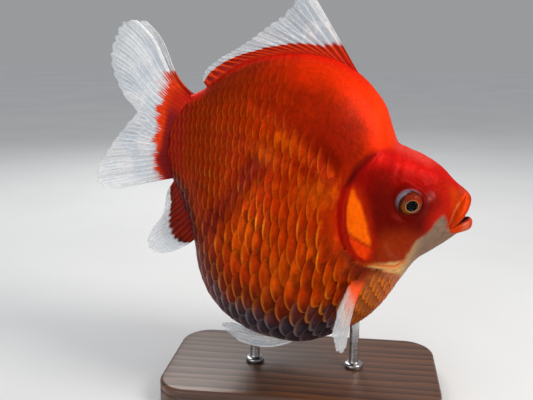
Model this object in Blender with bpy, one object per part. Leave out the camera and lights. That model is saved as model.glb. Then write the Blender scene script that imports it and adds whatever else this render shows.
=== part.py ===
"""A life-size still model of a Ryukin goldfish on a plain display stand.

The fish is laid out in its own frame, in millimetres: x runs forward along the body, z up through
the hump, y to its left, with the nape, eyes and vent at the places named below. An empty then pitches
it nose down and lifts it over the stand. Lengths become metres when a mesh is made.
"""

import math

import bmesh
import bpy
from mathutils import Matrix, Vector

MM = 0.001
GAP = 0.3
FAR = 90.0  # beyond the fish on every side, for the blocks that divide it
SHARP = math.radians(40)

# Pose and stand
PITCH = math.radians(11)
FISH_AT = (4.0, 0.0, 101.0)
BASE_LENGTH, BASE_WIDTH, BASE_HEIGHT = 124.0, 66.0, 10.0
BASE_CORNER, BASE_BEVEL = 14.0, 1.6
BASE_CORNER_STEPS = 5
ROD_RADIUS, ROD_REACH, ROD_SIDES = 2.2, 34.0, 16
ROD_FEET = {"stand_rod_front": 24.0, "stand_rod_rear": -22.0}
COLLAR_RADIUS, COLLAR_HEIGHT, COLLAR_CHAMFER = 4.2, 2.4, 0.8

# The body's lines: height of the back, height of the belly and half the width, at places along x
TAIL_END, SNOUT_END = -68.0, 67.5
BACK = [(-70, 12), (-66, 17), (-61, 20.5), (-55, 24.5), (-50, 29), (-44, 35.5), (-36, 41.5),
        (-28, 45.3), (-18, 48.0), (-8, 49.2), (3, 48.0), (11, 45), (19, 39.5), (25, 33.5),
        (29, 26.5), (32.5, 20.8), (37, 19.2), (45, 17.3), (53, 14), (61, 8.6), (65, 6.6), (68, 3.0)]
BELLY = [(-70, -2), (-66, -9), (-61, -16.5), (-56.5, -22.5), (-49.6, -33), (-45.2, -44),
         (-42, -53), (-37, -62), (-29, -69.5), (-17, -75), (0, -77), (14, -75), (25, -69),
         (33, -63), (39, -56), (43.5, -47.5), (47, -38.5), (50, -31), (56, -23.5), (61, -18.5),
         (65, -14), (68, -10)]
HALF_WIDTH = [(-70, 2.2), (-66, 4.5), (-60, 8), (-52, 13.5), (-42, 21), (-30, 29), (-18, 33.5),
              (-5, 35.5), (8, 34), (19, 30), (29, 25.5), (38, 22), (46, 18.6), (54, 13.8),
              (60, 9.8), (65, 6.6), (68, 4.4)]
# The widest level as a share of the depth above the belly, and how square each half-section is
WIDEST = [(-70, 0.5), (-50, 0.48), (-30, 0.39), (0, 0.34), (20, 0.36), (32, 0.42),
          (46, 0.5), (68, 0.5)]
UPPER_POWER = [(-70, 2), (-50, 1.85), (-20, 1.62), (10, 1.62), (24, 1.8), (34, 2.1),
               (50, 2.2), (68, 2.1)]
LOWER_POWER = [(-70, 2), (-50, 1.9), (-20, 2.1), (10, 2.15), (30, 2.0), (50, 1.9), (68, 2.0)]
RING_SPACING, BODY_SIDES = 2.9, 30
TAIL_STALK_FROM = -47.0
HEAD_FROM, COVER_TO = 5.0, 45.0

# Head: the line where the gill opening parts it from the trunk, and the front edge of the gill cover
GILL_LINE = [(31.5, 60), (31.3, 22), (27, 19.5), (22, 14.5), (17.5, 8.5), (15, 1), (14.8, -6),
             (16.3, -13), (19.3, -20), (23.5, -25.6), (29, -28.3), (35, -29), (42, -31),
             (46.5, -34), (49, -60)]
COVER_FRONT = [(27, 19.5), (24, 12), (22.9, 3), (23.6, -5.5), (26.5, -13), (30.5, -21), (35, -29)]
COVER_THICKNESS, COVER_STANDS_OUT, COVER_INNER_Y = 2.6, 0.5, 8.0
MOUTH_DEPTH, MOUTH_OPEN = 4.5, 0.62

# Eyes
EYE_AT, EYE_RADIUS, SOCKET_RADIUS = (41.4, 16.0, -0.3), 6.2, 6.55
EYE_SEGMENTS, EYE_RINGS = 18, 9

# Lips, each a bar bent round the front of the mouth: front and corner points, and bar half-sizes
UPPER_LIP = {"front": (66.3, 3.0), "corner": (60.2, 8.8, -7.4),
             "thick": (2.3, 3.0), "end": (1.8, 3.2), "bend": 0.55}
LOWER_LIP = {"front": (69.1, -7.7), "corner": (63.4, 4.4, -10.6),
             "thick": (2.6, 4.0), "end": (1.6, 2.6), "bend": 1.0}
LIP_HALF_TURN = math.radians(84)
LIP_STEPS, LIP_SIDES = 13, 10

FIN_ROOT_THICKNESS, FIN_EDGE_THICKNESS = 1.7, 0.6


# ---------------------------------------------------------------- curves and meshes

def line_through(points):
    """A smooth curve through (place, value) points that never swings past a value."""
    xs = [p[0] for p in points]
    ys = [p[1] for p in points]
    steps = [b - a for a, b in zip(xs, xs[1:])]
    slopes = [(b - a) / step for a, b, step in zip(ys, ys[1:], steps)]
    tangents = [slopes[0]]
    for i in range(1, len(xs) - 1):
        before, after = slopes[i - 1], slopes[i]
        if before * after <= 0:
            tangents.append(0.0)
            continue
        mean = (before * steps[i] + after * steps[i - 1]) / (steps[i] + steps[i - 1])
        tangents.append(math.copysign(min(abs(mean), 3 * abs(before), 3 * abs(after)), mean))
    tangents.append(slopes[-1])

    def value(x):
        x = min(max(x, xs[0]), xs[-1])
        i = 0
        while i < len(steps) - 1 and x > xs[i + 1]:
            i += 1
        t = (x - xs[i]) / steps[i]
        start = (1 + 2 * t) * (1 - t) ** 2 * ys[i] + t * (1 - t) ** 2 * steps[i] * tangents[i]
        end = t * t * (3 - 2 * t) * ys[i + 1] + t * t * (t - 1) * steps[i] * tangents[i + 1]
        return start + end

    return value


def path_through(points):
    """A smooth path in space through (share, x, y, z) points."""
    parts = [line_through([(p[0], p[k]) for p in points]) for k in (1, 2, 3)]
    return lambda s: Vector([part(s) for part in parts])


back, belly, half_width = line_through(BACK), line_through(BELLY), line_through(HALF_WIDTH)
widest = line_through(WIDEST)
upper_power, lower_power = line_through(UPPER_POWER), line_through(LOWER_POWER)


def body_point(x, angle, grow=0.0):
    """A point on the body's surface: angle 0 is the left flank, a quarter turn the back."""
    top, bottom, width = back(x) + grow, belly(x) - grow, half_width(x) + grow
    level = bottom + (top - bottom) * widest(x)
    c, s = math.cos(angle), math.sin(angle)
    power = upper_power(x) if s > 0 else lower_power(x)
    height = top - level if s > 0 else level - bottom
    return Vector((
        x,
        width * math.copysign(abs(c) ** (2 / power), c),
        level + height * math.copysign(abs(s) ** (2 / power), s),
    ))


def new_object(name, mesh, material):
    obj = bpy.data.objects.new(name, mesh)
    bpy.context.scene.collection.objects.link(obj)
    obj.parent = fish
    if material:
        mesh.materials.append(material)
    return obj


def mesh_of(name, points, faces, mirrored=False):
    """A mesh in metres from millimetre points, with its faces turned outwards."""
    mesh = bpy.data.meshes.new(name)
    flip = Vector((1, -1, 1)) if mirrored else Vector((1, 1, 1))
    mesh.from_pydata([MM * p * flip for p in points], [], faces)
    bm = bmesh.new()
    bm.from_mesh(mesh)
    bmesh.ops.recalc_face_normals(bm, faces=bm.faces)
    bm.to_mesh(mesh)
    bm.free()
    mesh.shade_smooth()
    mesh.set_sharp_from_angle(angle=SHARP)
    return mesh


def loft(rings):
    """Points and faces of a closed skin over rings of equal count, capped at both ends."""
    count = len(rings[0])
    points = [p for ring in rings for p in ring]
    faces = [tuple(reversed(range(count)))]
    for r in range(len(rings) - 1):
        low, high = r * count, (r + 1) * count
        for i in range(count):
            j = (i + 1) % count
            faces.append((low + i, low + j, high + j, high + i))
    faces.append(tuple(range(len(points) - count, len(points))))
    return points, faces


def spaced(start, end, count):
    return [start + (end - start) * i / (count - 1) for i in range(count)]


def flesh(grow=0.0, start=TAIL_END, end=SNOUT_END, mouth=False):
    """The closed body between two places along x, grown outwards, with the mouth's hollow if asked."""
    middle = 0.5 * (start + end)
    reach = 0.5 * (end - start)
    # Rings crowd towards the ends, where the outline turns fastest
    count = round(2 * reach / RING_SPACING) + 3
    places = [middle + reach * math.sin(0.5 * math.pi * s) for s in spaced(-1, 1, count)]
    angles = [2 * math.pi * (i + 0.5) / BODY_SIDES for i in range(BODY_SIDES)]
    rings = [[body_point(x, a, grow) for a in angles] for x in places]
    if mouth:
        centre = sum(rings[-1], Vector()) / BODY_SIDES
        rim = [centre + MOUTH_OPEN * (p - centre) for p in rings[-1]]
        rings += [rim, [p - Vector((MOUTH_DEPTH, 0, 0)) for p in rim]]
    return loft(rings)


def prism(outline, y_from, y_to):
    """A block with the given (x, z) outline between two values of y."""
    return loft([[Vector((x, y, z)) for x, z in outline] for y in (y_from, y_to)])


def shifted(outline, distance):
    """An open (x, z) line moved sideways, to its left as it is walked."""
    moved = []
    for i, (x, z) in enumerate(outline):
        a = outline[max(i - 1, 0)]
        b = outline[min(i + 1, len(outline) - 1)]
        length = math.hypot(b[0] - a[0], b[1] - a[1])
        moved.append((x - distance * (b[1] - a[1]) / length, z + distance * (b[0] - a[0]) / length))
    return moved


def swollen(outline, distance):
    """A closed (x, z) outline, walked with its inside on the left, grown outwards."""
    moved = []
    for i, (x, z) in enumerate(outline):
        sides = []
        for a, b in ((outline[i - 1], (x, z)), ((x, z), outline[(i + 1) % len(outline)])):
            length = math.hypot(b[0] - a[0], b[1] - a[1])
            sides.append(((b[1] - a[1]) / length, (a[0] - b[0]) / length))
        nx, nz = sides[0][0] + sides[1][0], sides[0][1] + sides[1][1]
        # A sharp corner moves further, so that both its sides clear by the distance
        reach = distance * min(2 / (nx * nx + nz * nz), 2.5)
        moved.append((x + reach * nx, z + reach * nz))
    return moved


def cutter(name, shape, mirrored=False):
    obj = new_object(name, mesh_of(name, *shape, mirrored=mirrored), None)
    obj.hide_render = True
    obj.display_type = "WIRE"
    return obj


def boolean(obj, operation, other):
    change = obj.modifiers.new(f"{operation.lower()} {other.name}", "BOOLEAN")
    change.operation = operation
    change.object = other
    change.solver = "EXACT"


def material(name, colour, roughness, metallic=0.0):
    made = bpy.data.materials.new(name)
    made.use_nodes = True
    shader = made.node_tree.nodes["Principled BSDF"]
    shader.inputs["Base Color"].default_value = (*colour, 1)
    shader.inputs["Roughness"].default_value = roughness
    shader.inputs["Metallic"].default_value = metallic
    return made


# ---------------------------------------------------------------- body

def make_cutters():
    far_side = [(FAR, -FAR), (FAR, FAR)]
    ahead = shifted(GILL_LINE, 0.5 * GAP) + far_side
    ahead_grown = shifted(GILL_LINE, -0.5 * GAP) + far_side
    return {
        "ahead": cutter("cut_head_side", prism(ahead, -FAR, FAR)),
        "ahead_grown": cutter("cut_trunk_side", prism(ahead_grown, -FAR, FAR)),
        "grown": cutter("cut_body_clearance", flesh(GAP)),
        "inner": cutter("cut_under_cover", flesh(-COVER_THICKNESS)),
        "inner_deep": cutter("cut_cover_bed", flesh(-COVER_THICKNESS - GAP)),
    }


def make_trunk(cutters):
    trunk = new_object("trunk", mesh_of("trunk", *flesh(start=TAIL_STALK_FROM + 0.5 * GAP)), scaled_skin)
    boolean(trunk, "DIFFERENCE", cutters["ahead_grown"])
    stalk_shape = flesh(end=TAIL_STALK_FROM - 0.5 * GAP)
    new_object("tail_stalk", mesh_of("tail_stalk", *stalk_shape), scaled_skin)


def cover_outline():
    top, bottom = GILL_LINE.index(COVER_FRONT[0]), GILL_LINE.index(COVER_FRONT[-1])
    rear = shifted(GILL_LINE, 0.5 * GAP)[top:bottom + 1]
    return rear + list(reversed(COVER_FRONT[1:-1]))


def make_head(cutters):
    head = new_object("head", mesh_of("head", *flesh(start=HEAD_FROM, mouth=True)), head_skin)
    boolean(head, "INTERSECT", cutters["ahead"])
    outline = cover_outline()
    for side, mirrored in (("right", True), ("left", False)):
        cover_shape = flesh(COVER_STANDS_OUT, start=HEAD_FROM, end=COVER_TO)
        cover = new_object(f"gill_cover_{side}", mesh_of("gill_cover", *cover_shape), cover_skin)
        block = cutter(f"cut_cover_{side}", prism(outline, COVER_INNER_Y, FAR), mirrored)
        boolean(cover, "INTERSECT", block)
        boolean(cover, "DIFFERENCE", cutters["inner"])
        bed_block = prism(swollen(outline, GAP), COVER_INNER_Y - GAP, FAR)
        bed = cutter(f"cut_cover_bed_{side}", bed_block, mirrored)
        boolean(bed, "DIFFERENCE", cutters["inner_deep"])
        boolean(head, "DIFFERENCE", bed)
        make_eye(head, side, mirrored)


def make_eye(head, side, mirrored):
    turn = -1 if mirrored else 1
    place = Vector((EYE_AT[0], turn * EYE_AT[1], EYE_AT[2]))
    for name, radius in ((f"eye_{side}", EYE_RADIUS), (f"cut_socket_{side}", SOCKET_RADIUS)):
        mesh = bpy.data.meshes.new(name)
        bm = bmesh.new()
        bmesh.ops.create_uvsphere(bm, u_segments=EYE_SEGMENTS, v_segments=EYE_RINGS, radius=MM * radius)
        bmesh.ops.rotate(bm, verts=bm.verts, matrix=Matrix.Rotation(math.pi / 2, 3, "X"))
        bmesh.ops.translate(bm, verts=bm.verts, vec=MM * place)
        bm.to_mesh(mesh)
        bm.free()
        mesh.shade_smooth()
        if name.startswith("cut"):
            socket = new_object(name, mesh, None)
            socket.hide_render = True
            socket.display_type = "WIRE"
            boolean(head, "DIFFERENCE", socket)
        else:
            new_object(name, mesh, eye_gloss)


def lip(shape):
    """A bar of oval section swept round the front of the mouth, thinner towards its corners."""
    front_x, front_z = shape["front"]
    corner_x, corner_y, corner_z = shape["corner"]
    reach = (front_x - corner_x) / (1 - math.cos(LIP_HALF_TURN))
    breadth = corner_y / math.sin(LIP_HALF_TURN)
    rings = []
    for s in spaced(-1, 1, LIP_STEPS):
        turn = s * LIP_HALF_TURN
        drop = (1 - math.cos(turn)) / (1 - math.cos(LIP_HALF_TURN))
        centre = Vector((
            front_x - reach * (1 - math.cos(turn)),
            breadth * math.sin(turn),
            front_z + (corner_z - front_z) * drop ** shape["bend"],
        ))
        outwards = Vector((math.cos(turn), math.sin(turn), 0))
        taper = math.sqrt(max(1 - abs(s) ** 6, 0.12))  # rounds off both corners
        wide = taper * (shape["thick"][0] + (shape["end"][0] - shape["thick"][0]) * drop)
        tall = taper * (shape["thick"][1] + (shape["end"][1] - shape["thick"][1]) * drop)
        rings.append([
            centre + outwards * wide * math.cos(a) + Vector((0, 0, tall * math.sin(a)))
            for a in spaced(0, 2 * math.pi, LIP_SIDES + 1)[:-1]
        ])
    return loft(rings)


def make_lips(cutters):
    for name, shape in (("upper_jaw", UPPER_LIP), ("lower_jaw", LOWER_LIP)):
        jaw = new_object(name, mesh_of(name, *lip(shape)), lip_skin)
        boolean(jaw, "DIFFERENCE", cutters["grown"])


# ---------------------------------------------------------------- fins

def plate(surface, rays, steps, root=0.0):
    """A closed plate about a surface(s, v): s runs from ray to ray and v from the root to the edge."""
    grid = [[surface(s, v) for v in spaced(root, 1, steps)] for s in spaced(0, 1, rays)]
    count = rays * steps

    def normal(i, j):
        along = grid[min(i + 1, rays - 1)][j] - grid[max(i - 1, 0)][j]
        out = grid[i][min(j + 1, steps - 1)] - grid[i][max(j - 1, 0)]
        return along.cross(out).normalized()

    points = []
    for side in (1, -1):
        for i in range(rays):
            for j in range(steps):
                share = max(root + (1 - root) * j / (steps - 1), 0)
                thinner = (FIN_ROOT_THICKNESS - FIN_EDGE_THICKNESS) * math.sqrt(share)
                thickness = FIN_ROOT_THICKNESS - thinner
                points.append(grid[i][j] + 0.5 * side * thickness * normal(i, j))
    rim = [(i, 0) for i in range(rays)] + [(rays - 1, j) for j in range(1, steps)]
    rim += [(i, steps - 1) for i in range(rays - 2, -1, -1)] + [(0, j) for j in range(steps - 2, 0, -1)]
    faces = []
    for i in range(rays - 1):
        for j in range(steps - 1):
            a, b, c, d = i * steps + j, (i + 1) * steps + j, (i + 1) * steps + j + 1, i * steps + j + 1
            faces.append((a, b, c, d))
            faces.append((count + d, count + c, count + b, count + a))
    for (i, j), (k, m) in zip(rim, rim[1:] + rim[:1]):
        a, b = i * steps + j, k * steps + m
        faces.append((b, a, count + a, count + b))
    return points, faces


def fan(root, edge, bow=(0, 0, 0), sway=(0, 0, 0)):
    """A fin's surface between a root path and an edge path. Its leading rays bow once and sway twice."""
    def surface(s, v):
        turn = math.pi * max(v, 0)
        bend = Vector(bow) * math.sin(turn) + Vector(sway) * math.sin(2 * turn)
        return root(s).lerp(edge(s), v) + (1 - s) * bend
    return surface


DORSAL_ROOT = path_through([(0, 10.0, 0, 45.2), (0.25, -6, 0, 49), (0.5, -22, 0, 47), (0.75, -38, 0, 40),
                            (1, -52.5, 0, 26.5)])
DORSAL_EDGE = path_through([(0, -17.0, 0, 75.0), (0.05, -20.5, 0, 72.5), (0.12, -24, 0, 65.5),
                            (0.28, -32, 0, 56.3), (0.5, -41, 0, 46.8), (0.75, -49.5, 0, 39.5),
                            (0.92, -54.6, 0, 33), (1, -55.2, 0, 29)])
TAIL_ROOT = path_through([(0, -58.4, 2.4, 21.6), (0.2, -63.0, 4.2, 16.6), (0.4, -65.6, 4.9, 8.6),
                          (0.6, -66.0, 5.0, 0.5), (0.8, -64.4, 4.4, -8), (1, -61.0, 3.4, -15.8)])
TAIL_EDGE = path_through([(0, -85.6, 6.4, 48.8), (0.05, -90.5, 7.0, 47.8), (0.14, -93.3, 8.4, 41.5),
                          (0.22, -94, 9.6, 34.6), (0.32, -91.2, 10.8, 25.5), (0.42, -84, 12, 16.2),
                          (0.48, -78.4, 12, 11.5), (0.54, -81, 14, 6.6), (0.64, -85.3, 17.5, -3),
                          (0.76, -89.4, 19, -13.5), (0.87, -89.5, 18.4, -20), (0.95, -85, 16.8, -22.8),
                          (1, -79.8, 15, -22.4)])
ANAL_ROOT = path_through([(0, -59.5, 3.0, -16.2), (0.35, -54, 3.8, -24), (0.7, -49.5, 4.6, -33),
                          (1, -45.4, 5.6, -40.5)])
ANAL_EDGE = path_through([(0, -61.6, 5.2, -22), (0.2, -61.2, 6.8, -30.5), (0.42, -64.6, 9.6, -39.5),
                          (0.55, -65.6, 11, -44.2), (0.7, -61.5, 11.4, -48.7), (0.85, -55, 11, -47.6),
                          (1, -47.6, 8.6, -42.8)])
PELVIC_ROOT = path_through([(0, 12.0, 13.0, -70.6), (0.5, 8.0, 12.4, -71.8), (1, 4.5, 11.8, -72.6)])
PELVIC_EDGE = path_through([(0, -15.6, 15.2, -79.0), (0.2, -20.7, 15.2, -76.8),
                            (0.42, -25.4, 14.6, -73.3), (0.65, -23.0, 13.4, -72.4),
                            (1, -12, 12.0, -75.2)])
PECTORAL_ROOT = path_through([(0, 31.2, 22.5, -34.2), (0.5, 28.2, 24.0, -35.2), (1, 25.4, 25.2, -36.0)])
PECTORAL_EDGE = path_through([(0, 28.2, 42.0, -57.0), (0.12, 27.8, 44.8, -58.7),
                              (0.3, 26.0, 48.4, -57.8), (0.52, 23.2, 51.0, -53.4),
                              (0.74, 21.6, 50.4, -47.6), (0.9, 22.2, 45.8, -42.6),
                              (1, 23.4, 39.8, -39.4)])


def make_fins(cutters):
    shape = plate(fan(DORSAL_ROOT, DORSAL_EDGE), 20, 5, root=-0.2)
    fin = new_object("dorsal_fin", mesh_of("dorsal_fin", *shape), fin_skin)
    boolean(fin, "DIFFERENCE", cutters["grown"])
    paired = {
        "tail_fin": (fan(TAIL_ROOT, TAIL_EDGE, sway=(-1.1, 0, -1.1)), 22, 6, -0.12),
        "anal_fin": (fan(ANAL_ROOT, ANAL_EDGE), 12, 4, -0.2),
        "pelvic_fin": (fan(PELVIC_ROOT, PELVIC_EDGE, bow=(0, 0.8, -3.6)), 9, 6, -0.12),
        "pectoral_fin": (fan(PECTORAL_ROOT, PECTORAL_EDGE, bow=(-1.6, 0.8, 0)), 11, 5, -0.16),
    }
    for name, (surface, rays, steps, root) in paired.items():
        for side, mirrored in (("right", True), ("left", False)):
            shape = plate(surface, rays, steps, root)
            fin = new_object(f"{name}_{side}", mesh_of(name, *shape, mirrored=mirrored), fin_skin)
            boolean(fin, "DIFFERENCE", cutters["grown"])


# ---------------------------------------------------------------- stand

def rounded_rectangle(length, width, corner):
    outline = []
    for cx, cy, start in ((1, 1, 0), (-1, 1, 90), (-1, -1, 180), (1, -1, 270)):
        for a in spaced(start, start + 90, BASE_CORNER_STEPS):
            outline.append((
                cx * (0.5 * length - corner) + corner * math.cos(math.radians(a)),
                cy * (0.5 * width - corner) + corner * math.sin(math.radians(a)),
            ))
    return outline


def make_stand(cutters):
    outline = rounded_rectangle(BASE_LENGTH, BASE_WIDTH, BASE_CORNER)
    rings = [[Vector((x, y, z)) for x, y in outline] for z in (0, BASE_HEIGHT)]
    base = new_object("stand_base", mesh_of("stand_base", *loft(rings)), stand_wood)
    base.parent = None
    edge = base.modifiers.new("eased edges", "BEVEL")
    edge.width = MM * BASE_BEVEL
    edge.segments = 2
    edge.angle_limit = SHARP
    for name, foot_x in ROD_FEET.items():
        # The rod runs up from the base into the belly, and the body's clearance trims its top
        profile = [(COLLAR_RADIUS, 0), (COLLAR_RADIUS, COLLAR_HEIGHT - COLLAR_CHAMFER),
                   (COLLAR_RADIUS - COLLAR_CHAMFER, COLLAR_HEIGHT), (ROD_RADIUS, COLLAR_HEIGHT),
                   (ROD_RADIUS, ROD_REACH)]
        turned = [
            [Vector((foot_x + r * math.cos(a), r * math.sin(a), BASE_HEIGHT + GAP + h))
             for a in spaced(0, 2 * math.pi, ROD_SIDES + 1)[:-1]]
            for r, h in profile
        ]
        rod = new_object(name, mesh_of(name, *loft(turned)), stand_steel)
        rod.parent = None
        boolean(rod, "DIFFERENCE", cutters["grown"])


for old in list(bpy.data.objects):
    bpy.data.objects.remove(old, do_unlink=True)

fish = bpy.data.objects.new("fish", None)
bpy.context.scene.collection.objects.link(fish)
fish.location = MM * Vector(FISH_AT)
fish.rotation_euler = (0, PITCH, 0)

scaled_skin = material("scaled_skin", (0.80, 0.16, 0.02), 0.35, 0.2)
head_skin = material("head_skin", (0.66, 0.05, 0.02), 0.3)
cover_skin = material("cover_skin", (0.85, 0.20, 0.02), 0.28, 0.2)
lip_skin = material("lip_skin", (0.85, 0.32, 0.18), 0.35)
fin_skin = material("fin_skin", (0.90, 0.72, 0.64), 0.4)
eye_gloss = material("eye_gloss", (0.02, 0.02, 0.02), 0.05)
stand_wood = material("stand_wood", (0.11, 0.055, 0.03), 0.4)
stand_steel = material("stand_steel", (0.62, 0.62, 0.63), 0.28, 1.0)

cutters = make_cutters()
make_trunk(cutters)
make_head(cutters)
make_lips(cutters)
make_fins(cutters)
make_stand(cutters)
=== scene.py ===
"""Looks of the Ryukin goldfish: skin, scales, fins, eyes and stand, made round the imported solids."""

import math

import bpy
import numpy as np
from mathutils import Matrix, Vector

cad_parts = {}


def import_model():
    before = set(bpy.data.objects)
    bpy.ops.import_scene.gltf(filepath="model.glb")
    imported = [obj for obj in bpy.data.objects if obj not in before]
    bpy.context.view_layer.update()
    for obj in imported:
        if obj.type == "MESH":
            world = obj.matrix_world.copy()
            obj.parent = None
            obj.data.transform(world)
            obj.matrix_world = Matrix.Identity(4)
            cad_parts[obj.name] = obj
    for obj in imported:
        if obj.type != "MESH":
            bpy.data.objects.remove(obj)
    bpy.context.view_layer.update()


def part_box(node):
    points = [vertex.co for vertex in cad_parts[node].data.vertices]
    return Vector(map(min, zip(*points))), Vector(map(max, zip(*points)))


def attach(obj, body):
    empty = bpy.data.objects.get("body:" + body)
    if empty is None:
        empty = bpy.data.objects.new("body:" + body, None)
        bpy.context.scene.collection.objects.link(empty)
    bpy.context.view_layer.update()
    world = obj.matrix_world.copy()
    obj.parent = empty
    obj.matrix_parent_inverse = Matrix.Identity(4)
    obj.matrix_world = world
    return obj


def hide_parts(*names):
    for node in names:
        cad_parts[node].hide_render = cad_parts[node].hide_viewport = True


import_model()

MM = 0.001
PITCH = math.radians(11)
FISH_AT = (4.0, 0.0, 101.0)
HALF = 0.5 * math.pi
rng = np.random.default_rng(7)

# ---- body lines, as in the part's source, in the fish's millimetres: x forwards, y to its left, z up

BACK = [(-70, 12), (-66, 17), (-61, 20.5), (-55, 24.5), (-50, 29), (-44, 35.5), (-36, 41.5),
        (-28, 45.3), (-18, 48.0), (-8, 49.2), (3, 48.0), (11, 45), (19, 39.5), (25, 33.5),
        (29, 26.5), (32.5, 20.8), (37, 19.2), (45, 17.3), (53, 14), (61, 8.6), (65, 6.6), (68, 3.0)]
BELLY = [(-70, -2), (-66, -9), (-61, -16.5), (-56.5, -22.5), (-49.6, -33), (-45.2, -44),
         (-42, -53), (-37, -62), (-29, -69.5), (-17, -75), (0, -77), (14, -75), (25, -69),
         (33, -63), (39, -56), (43.5, -47.5), (47, -38.5), (50, -31), (56, -23.5), (61, -18.5),
         (65, -14), (68, -10)]
HALF_WIDTH = [(-70, 2.2), (-66, 4.5), (-60, 8), (-52, 13.5), (-42, 21), (-30, 29), (-18, 33.5),
              (-5, 35.5), (8, 34), (19, 30), (29, 25.5), (38, 22), (46, 18.6), (54, 13.8),
              (60, 9.8), (65, 6.6), (68, 4.4)]
WIDEST = [(-70, 0.5), (-50, 0.48), (-30, 0.39), (0, 0.34), (20, 0.36), (32, 0.42), (46, 0.5), (68, 0.5)]
UPPER_POWER = [(-70, 2), (-50, 1.85), (-20, 1.62), (10, 1.62), (24, 1.8), (34, 2.1), (50, 2.2), (68, 2.1)]
LOWER_POWER = [(-70, 2), (-50, 1.9), (-20, 2.1), (10, 2.15), (30, 2.0), (50, 1.9), (68, 2.0)]
GILL_LINE = [(31.5, 60), (31.3, 22), (27, 19.5), (22, 14.5), (17.5, 8.5), (15, 1), (14.8, -6),
             (16.3, -13), (19.3, -20), (23.5, -25.6), (29, -28.3), (35, -29), (42, -31), (46.5, -34),
             (49, -60)]
COVER_FRONT = [(27, 19.5), (24, 12), (22.9, 3), (23.6, -5.5), (26.5, -13), (30.5, -21), (35, -29)]
EYE_AT, EYE_RADIUS, LID_REACH = (41.4, 16.0, -0.3), 6.2, 5.2
LIP_HALF_TURN = math.radians(84)
UPPER_LIP = {"front": (66.4, 3.1), "corner": (60.4, 9.1, -8.0), "thick": (2.1, 2.7), "end": (1.9, 3.2),
             "bend": 0.55}
LOWER_LIP = {"front": (69.3, -7.6), "corner": (63.2, 5.4, -10.6), "thick": (2.3, 3.5), "end": (1.4, 2.2),
             "bend": 1.0}

UPPER_CREASE = [(-38, 23), (-30, 22.4), (-19.3, 19.2), (-6.7, 15.8), (1.4, 11.8), (8.9, 7.1)]
BELLY_CREASE = [(-22, 3), (-24.5, -0.3), (-27.6, -9.2), (-33.3, -17.5), (-38.2, -27.7), (-41.8, -36.7),
                (-44, -43)]

CREASE_FULL = 26.0  # a crease this deep would draw the body in to its middle

COAT = 0.45  # how far the skin lies inside the solids under the scales


# ---- small maths

def line_through(points):
    """A smooth curve through (place, value) points that never swings past a value."""
    xs, ys = np.array(points, float).T
    steps = np.diff(xs)
    slopes = np.diff(ys) / steps
    before, after = slopes[:-1], slopes[1:]
    mean = (before * steps[1:] + after * steps[:-1]) / (steps[1:] + steps[:-1])
    limit = 3 * np.minimum(np.abs(before), np.abs(after))
    inner = np.where(before * after > 0, np.copysign(np.minimum(np.abs(mean), limit), mean), 0.0)
    tangents = np.concatenate([slopes[:1], inner, slopes[-1:]])

    def value(x):
        x = np.clip(x, xs[0], xs[-1])
        i = np.clip(np.searchsorted(xs, x, side="right") - 1, 0, len(steps) - 1)
        t = (x - xs[i]) / steps[i]
        start = (1 + 2 * t) * (1 - t) ** 2 * ys[i] + t * (1 - t) ** 2 * steps[i] * tangents[i]
        end = t * t * (3 - 2 * t) * ys[i + 1] + t * t * (t - 1) * steps[i] * tangents[i + 1]
        return start + end

    return value


def path_through(points):
    """A smooth path through (share, x, y, z) points."""
    parts = [line_through([(p[0], p[k]) for p in points]) for k in (1, 2, 3)]
    return lambda s: np.stack([part(s) for part in parts], -1)


def smooth(low, high, value):
    """0 below low, 1 above high, and a soft step between; the other way round where low is above high."""
    t = np.clip((value - low) / (high - low), 0, 1)
    return t * t * (3 - 2 * t)


def mix_number(a, b, share):
    """a where the share is 0, b where it is 1."""
    return a * (1 - share) + b * share


def bump_at(distance, width):
    """1 where the distance is 0, falling away over the width."""
    return np.exp(-(distance / width) ** 2)


def mix(a, b, share):
    """Colour a where the share is 0, b where it is 1."""
    share = np.asarray(share, float)
    return np.asarray(a, float) * (1 - share[..., None]) + np.asarray(b, float) * share[..., None]


def hashed(n):
    """A number from 0 to 1 that looks random, but is always the same for the same n."""
    return np.mod(np.sin(n * 127.1 + 11.7) * 43758.5453, 1.0)


def noise(p, size, seed=0.0):
    """Smooth value noise from 0 to 1, with lumps of the given size in millimetres."""
    q = p / size + seed * 17.3
    base = np.floor(q)
    f = q - base
    f = f * f * (3 - 2 * f)
    total = 0.0
    for corner in np.ndindex(2, 2, 2):
        at = base + corner
        weight = np.prod(np.where(corner, f, 1 - f), axis=-1)
        total = total + weight * hashed(at[..., 0] + 57.0 * at[..., 1] + 113.0 * at[..., 2])
    return total


def waver(p, size, seed):
    """Noise about nought, from -0.5 to 0.5."""
    return noise(p, size, seed) - 0.5


def brushed(a, b, size, seed):
    """Noise about nought over two directions, which may be stretched to make brush strokes."""
    return waver(np.stack([a, b, 0 * a], -1), size, seed)


def line_distance(line, x, z):
    """Distance from (x, z) points to a line of points."""
    best = np.full(np.shape(x), 1e9)
    line = np.array(line, float)
    for a, b in zip(line, line[1:]):
        d = b - a
        t = np.clip(((x - a[0]) * d[0] + (z - a[1]) * d[1]) / (d @ d), 0, 1)
        best = np.minimum(best, np.hypot(x - a[0] - t * d[0], z - a[1] - t * d[1]))
    return best


def near_line(line, x, z, width):
    """1 on a line of points, falling away over the width."""
    return bump_at(line_distance(line, x, z), width)


def inside(outline, x, z):
    """Signed distance to a closed outline, positive inside it."""
    far = line_distance(outline + outline[:1], x, z)
    odd = np.zeros(np.shape(x), bool)
    for (ax, az), (bx, bz) in zip(outline, outline[1:] + outline[:1]):
        if az == bz:
            continue
        crosses = (az > z) != (bz > z)
        odd ^= crosses & (x < (bx - ax) * (z - az) / (bz - az) + ax)
    return np.where(odd, far, -far)


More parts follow.
